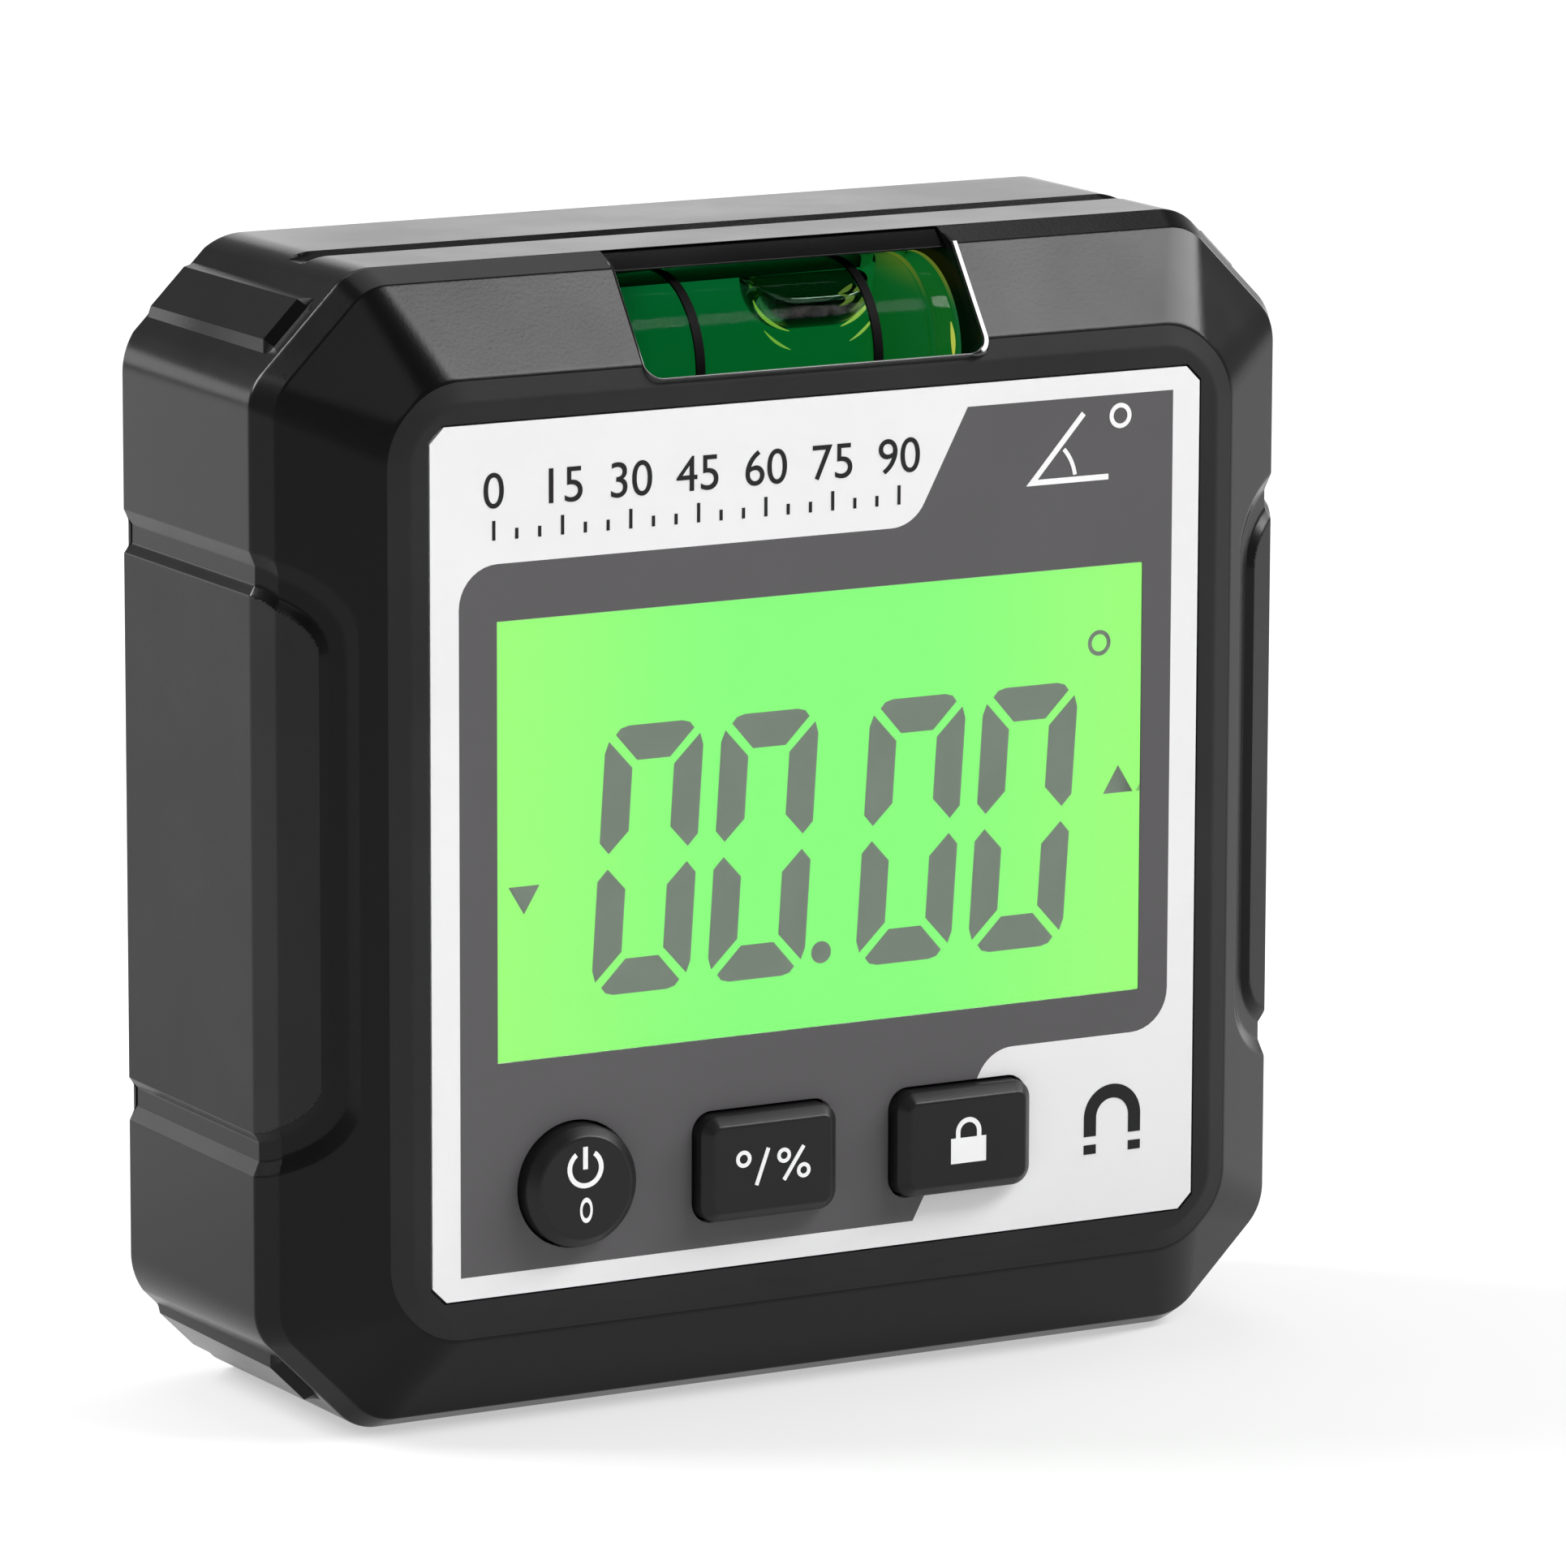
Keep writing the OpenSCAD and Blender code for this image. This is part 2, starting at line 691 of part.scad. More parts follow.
// Cross-head screw along Y, with the underside of its head at depth under
module cross_screw(x, z, under, shank_d, shank_len, head_d, head_h) {
    slot_w = head_d * slot_width_share;
    slot_len = head_d * slot_length_share;
    difference() {
        union() {
            bar_y(x, z, shank_d, under - shank_len, under);
            bar_y(x, z, head_d, under, under + head_h);
        }
        for (turn = [0, 90]) translate([x, under + head_h / 2, z]) rotate([0, turn, 0])
            translate([-slot_len / 2, 0, -slot_w / 2]) cube([slot_len, head_h, slot_w]);
    }
}

module battery_door_screw() {
    color(steel) placed() cross_screw(0, door_screw_z, body_d - door_tab_t / 2, case_screw_d,
        door_screw_len, case_head_d, door_tab_t / 2 - fit);
}

module case_screws() {
    color(steel) placed() for (x = [-post_x, post_x], z = post_z)
        cross_screw(x, z, body_d - counterbore, case_screw_d, case_screw_len, case_head_d, case_head_h);
}

// Rounds the corner at a point between its neighbours, inward or outward
function unit(v) = v / norm(v);
function rounded(before, at, after, r) =
    let (
        u = unit(before - at),
        v = unit(after - at),
        half = acos(u * v) / 2,
        middle = at + r / sin(half) * unit(u + v),
        from = at + r / tan(half) * u - middle,
        to = at + r / tan(half) * v - middle,
        start = atan2(from[1], from[0]),
        sweep = atan2(from[0] * to[1] - from[1] * to[0], from * to)
    )
    [for (j = [0:arc_steps]) middle + r * [cos(start + sweep * j / arc_steps),
        sin(start + sweep * j / arc_steps)]];

// Outline of the dark field: a block round the window, stepped by two slanted edges
module field_outline() {
    side = face_w / 2 - field_side;
    low = face_low + field_edge;
    high = face_high - field_edge;
    foot = face_low + footer_h;
    head = face_high - header_h;
    points = [
        [-side, low], [field_lower_x, low],
        [field_lower_x + (foot - low) * tan(field_lean), foot], [side, foot],
        [side, high], [field_upper_x, high],
        [field_upper_x - (high - head) * tan(field_lean), head], [-side, head]
    ];
    n = len(points);
    polygon([
        for (i = [0:n - 1])
            each i % 4 < 2 ? [points[i]] : rounded(points[i - 1], points[i], points[(i + 1) % n], field_r)
    ]);
}

module display_cut() {
    translate([window_x - window_w / 2, -over, window_z - window_h / 2])
        cube([window_w, face_t + 2 * over, window_h]);
}

module face_plate() {
    color(plate_white) placed() difference() {
        along_y(0, face_t) face_outline(0);
        along_y(-over, field_t) field_outline();
        display_cut();
        key_holes(-over, face_t + over);
    }
}

module face_field() {
    color(field_grey) placed() difference() {
        along_y(0, field_t) field_outline();
        display_cut();
        key_holes(-over, face_t + over);
    }
}

module display_window() {
    color(clear) placed() translate([window_x - window_w / 2 + film, 0, window_z - window_h / 2 + film])
        cube([window_w - 2 * film, face_t, window_h - 2 * film]);
}

module lcd_glass() {
    color(lit_green) placed() {
        translate([window_x - glass_w / 2, glass_y, glass_low])
            cube([glass_w, glass_t, glass_top - glass_low]);
        translate([window_x - glass_w / 2, glass_y + glass_t, rear_glass_low])
            cube([glass_w, glass_t, glass_top - rear_glass_low]);
    }
}

module backlight_panel() {
    color(panel_white) placed() translate([window_x - glass_w / 2, light_y, rear_glass_low])
        cube([glass_w, light_t, glass_top - rear_glass_low]);
}

// Lamp on the main board, at the right end of the backlight panel
module backlight_lamp() {
    color(panel_white) placed()
        translate([window_x + glass_w / 2 + fit, board_y - lamp_size[1], window_z - lamp_size[2] / 2])
            cube(lamp_size);
}

module contact_strip() {
    color(strip_grey) placed()
        translate([window_x - strip_len / 2, glass_y + glass_t, glass_low + (glass_ledge - strip_t) / 2])
            cube([strip_len, board_y - glass_y - glass_t, strip_t]);
}

module main_board() {
    color(board_green) placed() difference() {
        translate([-board_w / 2, board_y, board_low]) cube([board_w, board_t, board_top - board_low]);
        for (x = [-board_screw_x, board_screw_x], z = board_screw_z)
            bar_y(x, z, board_screw_d + 2 * fit, board_y - over, board_back + over);
    }
}

module board_screws() {
    color(steel) placed() for (x = [-board_screw_x, board_screw_x], z = board_screw_z)
        cross_screw(x, z, board_back, board_screw_d, board_back - wall_y - fit, board_head_d, board_head_h);
}

// Chip on the back of the main board
module chip(at, size) {
    translate([at[0] - size[0] / 2, board_back, at[1] - size[1] / 2]) cube([size[0], size[2], size[1]]);
}

module tilt_sensor() {
    color(chip_black) placed() chip(sensor_at, sensor_size);
}

module controller_chip() {
    color(chip_black) placed() chip(chip_at, chip_size);
}

module power_button() {
    r = power_d / 2;
    color(key_black) placed() {
        translate([power_x, 0, key_z]) rotate([-90, 0, 0]) rotate_extrude() polygon([
            [0, -key_proud],
            [r - key_bevel, -key_proud],
            [r - key_ease, key_ease - key_proud],
            [r, key_bevel - key_proud],
            [r, flange_y],
            [r + flange_reach, flange_y],
            [r + flange_reach, plunger_y],
            [0, plunger_y]
        ]);
    }
}

// Oblong key with a bevelled front and a flange behind the front wall
module oblong_button(x) {
    color(key_black) placed() {
        hull() {
            along_y(-key_proud, 0) oblong_outline(x, -key_bevel);
            along_y(key_ease - key_proud, 0) oblong_outline(x, -key_ease);
            along_y(key_bevel - key_proud, 0) oblong_outline(x, 0);
        }
        along_y(0, flange_y) oblong_outline(x, 0);
        along_y(flange_y, plunger_y) oblong_outline(x, flange_reach);
    }
}

module unit_button() {
    oblong_button(unit_x);
}

module hold_button() {
    oblong_button(hold_x);
}

// Push switch on the front of the main board, with a well for its plunger
module push_switch(x) {
    color(steel) placed() difference() {
        translate([x - switch_w / 2, switch_y, key_z - switch_w / 2])
            cube([switch_w, board_y - switch_y, switch_w]);
        bar_y(x, key_z, plunger_d + 2 * fit, switch_y - over, board_y - switch_floor);
    }
}

module plunger(x) {
    color(chip_black) placed() bar_y(x, key_z, plunger_d, plunger_y, plunger_y + plunger_len);
}

module power_switch() {
    push_switch(power_x);
}

module unit_switch() {
    push_switch(unit_x);
}

module hold_switch() {
    push_switch(hold_x);
}

module power_plunger() {
    plunger(power_x);
}

module unit_plunger() {
    plunger(unit_x);
}

module hold_plunger() {
    plunger(hold_x);
}

module vial_tube() {
    color(clear) placed() difference() {
        bar_x(vial_left, vial_right, vial_y(), vial_z(), vial_d);
        bar_x(vial_left + vial_end, vial_right + over, vial_y(), vial_z(), vial_bore);
        for (side = [-1, 1]) {
            x = vial_x + side * vial_ring_pitch / 2;
            difference() {
                bar_x(x - vial_ring_w / 2, x + vial_ring_w / 2, vial_y(), vial_z(), vial_d + over);
                bar_x(x - over, x + over, vial_y(), vial_z(), vial_d - 2 * vial_ring_d);
            }
        }
    }
}

module vial_plug() {
    color(clear) placed()
        bar_x(vial_right - plug_len, vial_right, vial_y(), vial_z(), vial_bore - 2 * film);
}

// Liquid with the bubble as a hollow along its top
module vial_liquid() {
    lift = 0.15;
    bubble_z = vial_z() + vial_bore / 2 - bubble_d / 2 + lift;
    span = (bubble_len - bubble_d) / 2;
    x = vial_x + bubble_x;
    color(liquid_green) placed() difference() {
        bar_x(vial_left + vial_end + film, vial_right - plug_len - film, vial_y(), vial_z(),
            vial_bore - 2 * film);
        bar_x(x - span, x + span, vial_y(), bubble_z, bubble_d);
        for (end = [-1, 1]) translate([x + end * span, vial_y(), bubble_z]) sphere(d = bubble_d);
    }
}

// Block glued behind the vial, closing its seat from the back
module vial_retainer() {
    color(black) placed() difference() {
        translate([vial_left - cradle_wall, vial_y() + fit, cradle_low])
            cube([vial_len + 2 * cradle_wall, retainer_back - vial_y() - fit, body_h - wall - cradle_low]);
        vial_seat();
    }
}

module base_magnet(x) {
    color(steel) placed() translate([x, magnet_y, magnet_recess]) cylinder(d = magnet_d, h = magnet_t);
}

module left_magnet() {
    base_magnet(-magnet_x);
}

module right_magnet() {
    base_magnet(magnet_x);
}

// Battery cell; side is the end that its positive terminal faces
module cell(side, z) {
    tip = bay_x - contact_t - dimple_h - film;
    color(cell_blue) placed() translate([side * tip, cell_y, z]) rotate([0, -90 * side, 0]) {
        cylinder(d = nub_d, h = nub_h);
        translate([0, 0, nub_h]) cylinder(d = cell_d, h = cell_len - nub_h);
    }
}

module upper_cell() {
    cell(1, upper_z);
}

module lower_cell() {
    cell(-1, lower_z);
}

// Sheet contact on the bay's end wall, from one height to another
module contact_sheet(side, low, high) {
    translate([side > 0 ? bay_x - contact_t : -bay_x, cell_y - contact_w / 2, low])
        cube([contact_t, contact_w, high - low]);
}

// Tail from a contact through the bay's floor to the main board
module contact_tail(side, z) {
    translate([side > 0 ? bay_x - contact_t : -bay_x, board_back, z - tail_w / 2])
        cube([contact_t, cell_y - board_back, tail_w]);
}

// Dimple that meets a cell's positive terminal
module contact_dimple(side, z) {
    from = side > 0 ? bay_x - contact_t - dimple_h : contact_t - bay_x;
    bar_x(from, from + dimple_h, cell_y, z, dimple_d);
}

module positive_contact() {
    color(gold) placed() {
        contact_sheet(-1, lower_z - contact_w / 2, lower_z + contact_w / 2);
        contact_tail(-1, lower_z);
        contact_dimple(-1, lower_z);
    }
}

module negative_contact() {
    color(gold) placed() {
        contact_sheet(-1, upper_z - contact_w / 2, upper_z + contact_w / 2);
        contact_tail(-1, upper_z);
    }
}

module bridge_contact() {
    color(gold) placed() {
        contact_sheet(1, lower_z - contact_w / 2, upper_z + contact_w / 2);
        contact_tail(1, bay_z);
        contact_dimple(1, upper_z);
    }
}

// Conical coil spring along X, from a contact sheet to a cell's negative end
module battery_spring(side, z) {
    steps = 14;
    wire_sides = 6;
    rings = spring_turns * steps;
    rise = spring_len - spring_wire - 2 * film;
    points = [
        for (i = [0:rings], j = [0:wire_sides - 1])
            let (
                turn = 360 * i / steps,
                around = 360 * j / wire_sides,
                r = (spring_base_d + (spring_tip_d - spring_base_d) * i / rings - spring_wire) / 2
                    + spring_wire / 2 * cos(around),
                along = film + spring_wire / 2 * (1 + sin(around)) + rise * i / rings
            )
            [side * (bay_x - contact_t - along), cell_y + r * cos(turn), z + side * r * sin(turn)]
    ];
    skin = [
        for (i = [0:rings - 1], j = [0:wire_sides - 1])
            let (a = i * wire_sides + j, b = i * wire_sides + (j + 1) % wire_sides)
            [a, a + wire_sides, b + wire_sides, b]
    ];
    start = [for (j = [0:wire_sides - 1]) j];
    end = [for (j = [wire_sides - 1:-1:0]) rings * wire_sides + j];
    color(steel) placed() polyhedron(points, concat([start], skin, [end]), convexity = 8);
}

module upper_spring() {
    battery_spring(-1, upper_z);
}

module lower_spring() {
    battery_spring(1, lower_z);
}

housing();
rear_cover();
battery_door();
battery_door_screw();
case_screws();
face_plate();
face_field();
display_window();
lcd_glass();
backlight_panel();
backlight_lamp();
contact_strip();
main_board();
board_screws();
tilt_sensor();
controller_chip();
power_button();
unit_button();
hold_button();
power_switch();
unit_switch();
hold_switch();
power_plunger();
unit_plunger();
hold_plunger();
vial_tube();
vial_liquid();
vial_plug();
vial_retainer();
left_magnet();
right_magnet();
upper_cell();
lower_cell();
positive_contact();
negative_contact();
bridge_contact();
upper_spring();
lower_spring();
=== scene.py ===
import math

import bmesh
import bpy
from mathutils import Matrix, Vector


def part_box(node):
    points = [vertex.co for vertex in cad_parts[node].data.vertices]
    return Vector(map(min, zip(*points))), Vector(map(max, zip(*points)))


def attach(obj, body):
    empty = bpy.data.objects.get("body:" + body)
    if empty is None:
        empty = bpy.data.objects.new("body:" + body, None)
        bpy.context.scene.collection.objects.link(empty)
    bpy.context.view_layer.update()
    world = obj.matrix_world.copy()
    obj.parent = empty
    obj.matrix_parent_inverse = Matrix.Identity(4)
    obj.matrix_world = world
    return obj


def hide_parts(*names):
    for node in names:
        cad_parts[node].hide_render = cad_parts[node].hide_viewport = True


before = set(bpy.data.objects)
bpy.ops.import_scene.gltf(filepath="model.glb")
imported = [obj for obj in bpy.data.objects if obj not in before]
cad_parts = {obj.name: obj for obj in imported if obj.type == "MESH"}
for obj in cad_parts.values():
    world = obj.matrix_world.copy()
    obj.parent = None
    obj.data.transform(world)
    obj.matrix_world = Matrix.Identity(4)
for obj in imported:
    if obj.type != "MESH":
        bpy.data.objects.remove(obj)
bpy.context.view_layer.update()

# Digital angle gauge. Sizes are in millimetres, as in the part's source. X runs right, Z runs up,
# and a depth Y is measured back from the face plate's front, which lies at FRONT_Y.
MM = 0.001
BODY_W, BODY_H = 60.0, 60.0
MID_Z = BODY_H / 2
CORNER_LEG, CORNER_R = 5.7, 2.8
WALL, FRONT_WALL, FACE_T = 2.0, 1.6, 0.6
RING_W, BAND_W, BAND_D = 1.08, 1.21, 0.47
BEVEL_W, BEVEL_D, RIM_W, RIM_D = 4.5, 3.26, 0.72, 1.47
BACK_EDGE, COVER_T, COVER_LIP = 0.4, 1.9, 1.0
FIT, KEY_GAP = 0.1, 0.15
FRONT_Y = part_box("face_plate")[0].y / MM
BODY_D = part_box("housing")[1].y / MM - FRONT_Y
FRONT_INSET = BAND_W + BEVEL_W + RIM_W
BEVEL_Y = BAND_D + BEVEL_D
SIDE_Y = BEVEL_Y + RIM_D
COVER_Y = BODY_D - COVER_T
WALL_Y = FACE_T + FRONT_WALL
FACE_HALF = BODY_W / 2 - FRONT_INSET - RING_W
FACE_CORNER = 0.8
BEVEL_RUN = math.hypot(BEVEL_W, BEVEL_D)
BEVEL_TILT = math.atan2(BEVEL_D, BEVEL_W)

# Grips, grooves and corner plates. The shares are where a groove's slopes end, across its width.
GRIP_H, GRIP_R, GRIP_FRONT = 27.6, 3.0, 2.45
GROOVE_W, GROOVE_FRONT_W, GROOVE_D = 2.3, 1.2, 0.35
GROOVE_INNER, GROOVE_OUTER = 0.24, 0.65
GROOVE_SHARES = (0, GROOVE_INNER, GROOVE_OUTER, 1)
TOP_GROOVE_Y, TOP_GROOVE_W, TOP_GROOVE_RUN = 9.9, 2.0, 0.3
PLATE_W, PLATE_T, PLATE_GAP = 3.7, 0.5, 0.9

# Lean of the corner chamfers, growth of their arcs towards the face plate, the least flat that is
# left between two arcs, and about the length of a chamfer that its arcs take
CORNER_DRAFT, CORNER_EASE, CORNER_FLAT, ARC_ROOM = 0.2, 0.22, 0.3, 2.4

# Lines of the housing's mesh: steps in a corner's arc, the fine step and where it is used along a
# side face and in depth, lines that support an edge, and the least distance between two lines
ARC_STEPS, FINE = 18, 0.09
COARSE_PLACES, LAST_PLACE = [0, 4, 8], 18.5
FINE_START, FINE_STOP = 10.2, GRIP_H / 2 + GROOVE_W + 0.3
FINE_FRONT, FINE_BACK = 0.9, SIDE_Y + 1.6
EDGE_SUPPORT, ROW_SUPPORT, GROOVE_SUPPORT = 0.12, 0.06, 0.05
LEAST_ROW, CLEAR_OF_GROOVE = 0.02, 0.3
RING_FLAT, RING_EDGE = 0.3, 0.03
SECTION_RADII = [0.8, 1.0, 0.3, 0.5, 0.15, 0.15, 0.1, 0, 0, 0, 0]

# Angles in degrees over which an edge is sharp: on the housing, and on its corner plates
CREASE, PLATE_CREASE = 40, 11
NEAR_CORNER, NEAR_PLATE = 0.3, 0.1

# Display and keys
GLASS_LOW, GLASS_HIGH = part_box("lcd_glass")
POWER_X, UNIT_X, HOLD_X = -14.3, -3.4, 8.2
POWER_D, KEY_W, KEY_H, KEY_R, KEY_LEAST_R = 6.4, 8.0, 5.6, 1.0, 0.15
KEY_Z = MID_Z - FACE_HALF + 5.4
KEY_PROUD, KEY_BEVEL, KEY_FLAT, INK_T = 1.2, 0.55, 0.5, 0.02
KEY_EDGE_RADII = [0.25, 0.3]
KEY_TOP = INK_T - KEY_PROUD
FLANGE_Y, FLANGE_T, FLANGE_REACH = WALL_Y + FIT, 0.6, 0.7

# Vial, with its window in the top bevel and its cradle. The cradle's section is given as depth and
# distance below the top.
TUBE_LOW, TUBE_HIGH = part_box("vial_tube")
VIAL_LEFT, VIAL_RIGHT = TUBE_LOW.x / MM, TUBE_HIGH.x / MM
VIAL_R = (TUBE_HIGH.z - TUBE_LOW.z) / MM / 2
VIAL_Y = (TUBE_LOW.y + TUBE_HIGH.y) / MM / 2 - FRONT_Y
VIAL_Z = (TUBE_LOW.z + TUBE_HIGH.z) / MM / 2
VIAL_SINK, VIAL_BORE_R, VIAL_EASE = 0.7, 3.7, 0.25
PLUG_LEN, PLUG_GAP, PLUG_EASE = 1.5, 0.02, 0.3
RING_PITCH, RING_BAND, RING_START, RING_STOP = 10.4, 0.5, 70, 250
RING_SINK, RING_PROUD = 0.15, 0.02
# Painted light: gap, thickness and span of the glowing sheet behind the vial and of the glowing
# discs at its ends, and the discs' rounding
PAINTED_LIGHT_GAP, PAINTED_LIGHT_T, PAINTED_LIGHT_START, PAINTED_LIGHT_STOP = 0.03, 0.04, 255, 393
PAINTED_END_EASE = 0.015
VIAL_WINDOW_X, VIAL_WINDOW_W, VIAL_WINDOW_H, VIAL_WINDOW_R = -0.25, 19.7, 7.85, 0.9
WINDOW_LEFT = VIAL_WINDOW_X - VIAL_WINDOW_W / 2
WINDOW_RIGHT = VIAL_WINDOW_X + VIAL_WINDOW_W / 2
CRADLE_WALL, CRADLE_END = 0.4, 1.2
CRADLE_SECTION = [(FACE_T + FIT, 5.7), (3.9, 1.1), (5.4, 0.4), (VIAL_Y, 0.4)]
BUBBLE_X, BUBBLE_LEN, BUBBLE_D, BUBBLE_LIFT, BUBBLE_WALL = 2.4, 7.0, 4.4, 1.8, 0.05
BUBBLE_Z = VIAL_BORE_R - BUBBLE_D / 2 + BUBBLE_LIFT

# Smallest radius of a rounded end, where it is closed
TIP_R = 0.02


# Mesh helpers
def smooth(mesh, sharp):
    mesh.shade_smooth()
    mesh.set_sharp_from_angle(angle=math.radians(sharp))


def make_object(name, bm, material, body="case", sharp=35, stands_for=()):
    """Makes a piece from a bmesh drawn in millimetres, and rides it on a CAD body."""
    bmesh.ops.recalc_face_normals(bm, faces=bm.faces)
    bmesh.ops.scale(bm, vec=(MM, MM, MM), verts=bm.verts)
    mesh = bpy.data.meshes.new(name)
    bm.to_mesh(mesh)
    bm.free()
    obj = bpy.data.objects.new(name, mesh)
    bpy.context.scene.collection.objects.link(obj)
    smooth(mesh, sharp)
    if material is not None:
        mesh.materials.append(material)
    if body is not None:
        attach(obj, body)
    if stands_for:
        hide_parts(*stands_for)
    return obj


def add_loop(bm, points):
    return [bm.verts.new(p) for p in points]


def bridge(bm, a, b):
    """Quads between two closed loops of the same length."""
    n = len(a)
    for i in range(n):
        bm.faces.new((a[i], a[(i + 1) % n], b[(i + 1) % n], b[i]))


def loop_edges(bm, loop):
    pairs = zip(loop, loop[1:] + loop[:1])
    return [bm.edges.get(pair) or bm.edges.new(pair) for pair in pairs]


def fill(bm, loops):
    """Fills a flat outline that has holes."""
    edges = [e for loop in loops for e in loop_edges(bm, loop)]
    bmesh.ops.triangle_fill(bm, use_beauty=True, edges=edges)


def add_prism(bm, outline, y_front, y_back):
    """Closed prism along Y on an outline of (x, z) points."""
    front = add_loop(bm, [(x, y_front, z) for x, z in outline])
    back = add_loop(bm, [(x, y_back, z) for x, z in outline])
    bridge(bm, front, back)
    bm.faces.new(front)
    bm.faces.new(back)


def add_frame(bm, outer, inner, y_front, y_back):
    """Closed prism along Y between an outer and an inner outline."""
    corners = ((outer, y_front), (outer, y_back), (inner, y_back), (inner, y_front))
    loops = [add_loop(bm, [(x, y, z) for x, z in outline]) for outline, y in corners]
    for a, b in zip(loops, loops[1:] + loops[:1]):
        bridge(bm, a, b)


def add_loft(bm, loops):
    """Closed solid through a row of loops."""
    rows = [add_loop(bm, points) for points in loops]
    for a, b in zip(rows, rows[1:]):
        bridge(bm, a, b)
    bm.faces.new(rows[0])
    bm.faces.new(rows[-1])


def arc(cx, cz, r, start, stop, steps):
    """Points on an arc, with angles in degrees."""
    turns = [math.radians(start + (stop - start) * i / steps) for i in range(steps + 1)]
    return [(cx + r * math.cos(t), cz + r * math.sin(t)) for t in turns]


def circle(cx, cz, r, steps=64):
    return arc(cx, cz, r, 0, 360, steps)[:-1]


def round_rect(cx, cz, w, h, r, steps=10):
    points = []
    for k, (sx, sz) in enumerate(((1, 1), (-1, 1), (-1, -1), (1, -1))):
        corner = cx + sx * (w / 2 - r), cz + sz * (h / 2 - r)
        points += arc(*corner, r, 90 * k, 90 * (k + 1), steps)
    return points


def fillet(points, radii, turn_step=6):
    """Rounds the inner corners of an open path."""
    path = [Vector(points[0])]
    for before, at, after, r in zip(points, points[1:], points[2:], radii):
        before, at, after = Vector(before), Vector(at), Vector(after)
        if r <= 0:
            path.append(at)
            continue
        u, v = (before - at).normalized(), (after - at).normalized()
        half = math.acos(max(-1, min(1, u.dot(v)))) / 2
        middle = at + (u + v).normalized() * (r / math.sin(half))
        start = at + u * (r / math.tan(half)) - middle
        stop = at + v * (r / math.tan(half)) - middle
        sweep = math.atan2(start.x * stop.y - start.y * stop.x, start.dot(stop))
        steps = max(2, math.ceil(abs(math.degrees(sweep)) / turn_step))
        for j in range(steps + 1):
            path.append(middle + Matrix.Rotation(sweep * j / steps, 2) @ start)
    path.append(Vector(points[-1]))
    return path


def ramp(value, low, high):
    return min(1.0, max(0.0, (value - low) / (high - low)))


# Housing. Its eight edges are numbered from the right face, and the odd ones are corner chamfers.
def edge_reach(k):
    """Distance of an edge from the middle."""
    if k % 4 == 0:
        return BODY_W / 2
    if k % 4 == 2:
        return BODY_H / 2
    return (BODY_W + BODY_H - 2 * CORNER_LEG) / (2 * math.sqrt(2))


def facing(k):
    return Vector((math.cos(math.radians(45 * k)), math.sin(math.radians(45 * k))))


def along(k):
    n = facing(k)
    return Vector((-n.y, n.x))


def corner_radius(inset):
    """The corners' arcs get wider towards the face plate, as long as some chamfer is left flat."""
    tangent = math.tan(math.radians(22.5))
    chamfer = CORNER_LEG * math.sqrt(2) - 2 * inset * tangent
    return min(CORNER_R + CORNER_EASE * inset, (chamfer - CORNER_FLAT) / (2 * tangent))


def arc_middle(k, inset):
    near = edge_reach(k) - inset - corner_radius(inset)
    after = edge_reach(k + 1) - inset - corner_radius(inset)
    return near * facing(k) + (after - near * math.sqrt(0.5)) / math.sqrt(0.5) * along(k)


def grip_places():
    """Places along a side face where the mesh has a line, close together round a pad's ends."""
    steps = int((FINE_STOP - FINE_START) / FINE)
    places = COARSE_PLACES + [FINE_START + FINE * i for i in range(steps + 1)]
    exact = [GRIP_H / 2 + GROOVE_W * q for q in GROOVE_SHARES]
    places = [p for p in places if all(abs(p - e) > FINE / 3 for e in exact)]
    places += exact + [LAST_PLACE]
    return sorted({-p for p in places} | set(places))


GRIP_PLACES = grip_places()
PLATE_PLACES = [-PLATE_W / 2, PLATE_T - PLATE_W / 2, PLATE_W / 2 - PLATE_T, PLATE_W / 2]


def outline_columns(inset):
    """Points round the body, inset inside its faces: place, direction, edge and place along it.

    On an arc the edge is None, and the last value is how far it has turned to the chamfer."""
    columns = []
    for k in range(8):
        n, t = facing(k), along(k)
        reach = edge_reach(k) - inset
        start, stop = arc_middle(k - 1, inset).dot(t), arc_middle(k, inset).dot(t)
        if k % 4 == 0:
            inner = GRIP_PLACES
        elif k % 2:
            share = min(1.0, (stop - start) / (CORNER_LEG * math.sqrt(2) - ARC_ROOM))
            inner = [(start + stop) / 2 + share * p for p in PLATE_PLACES]
        else:
            inner = [start + (stop - start) * f for f in (0.25, 0.5, 0.75)]
        support = min(EDGE_SUPPORT, (stop - start) / 8)
        for s in [start + support, *inner, stop - support]:
            columns.append((reach * n + s * t, n, k, s))
        for j in range(ARC_STEPS + 1):
            turn = math.radians(45 * (k + j / ARC_STEPS))
            out = Vector((math.cos(turn), math.sin(turn)))
            toward = j / ARC_STEPS if k % 2 == 0 else 1 - j / ARC_STEPS
            columns.append((arc_middle(k, inset) + corner_radius(inset) * out, out, None, toward))
    return columns


def grip_distance(y, z, front, half, r):
    """Distance outside a pad's outline, seen from the side. It is negative on the pad."""
    a, b = front + r - y, abs(z) - (half - r)
    return math.hypot(a, b) - r if a > 0 and b > 0 else max(a, b) - r


def grip_groove(y, z):
    """Depth of the groove round a grip pad, seen from the side."""
    inner = grip_distance(y, z, GRIP_FRONT, GRIP_H / 2, GRIP_R)
    outer = grip_distance(y, z, GRIP_FRONT - GROOVE_FRONT_W, GRIP_H / 2 + GROOVE_W,
                          GRIP_R + GROOVE_FRONT_W)
    if inner <= 0 or outer >= 0:
        return 0.0
    q = inner / (inner - outer)
    return GROOVE_D * min(ramp(q, 0, GROOVE_INNER), 1 - ramp(q, GROOVE_OUTER, 1))


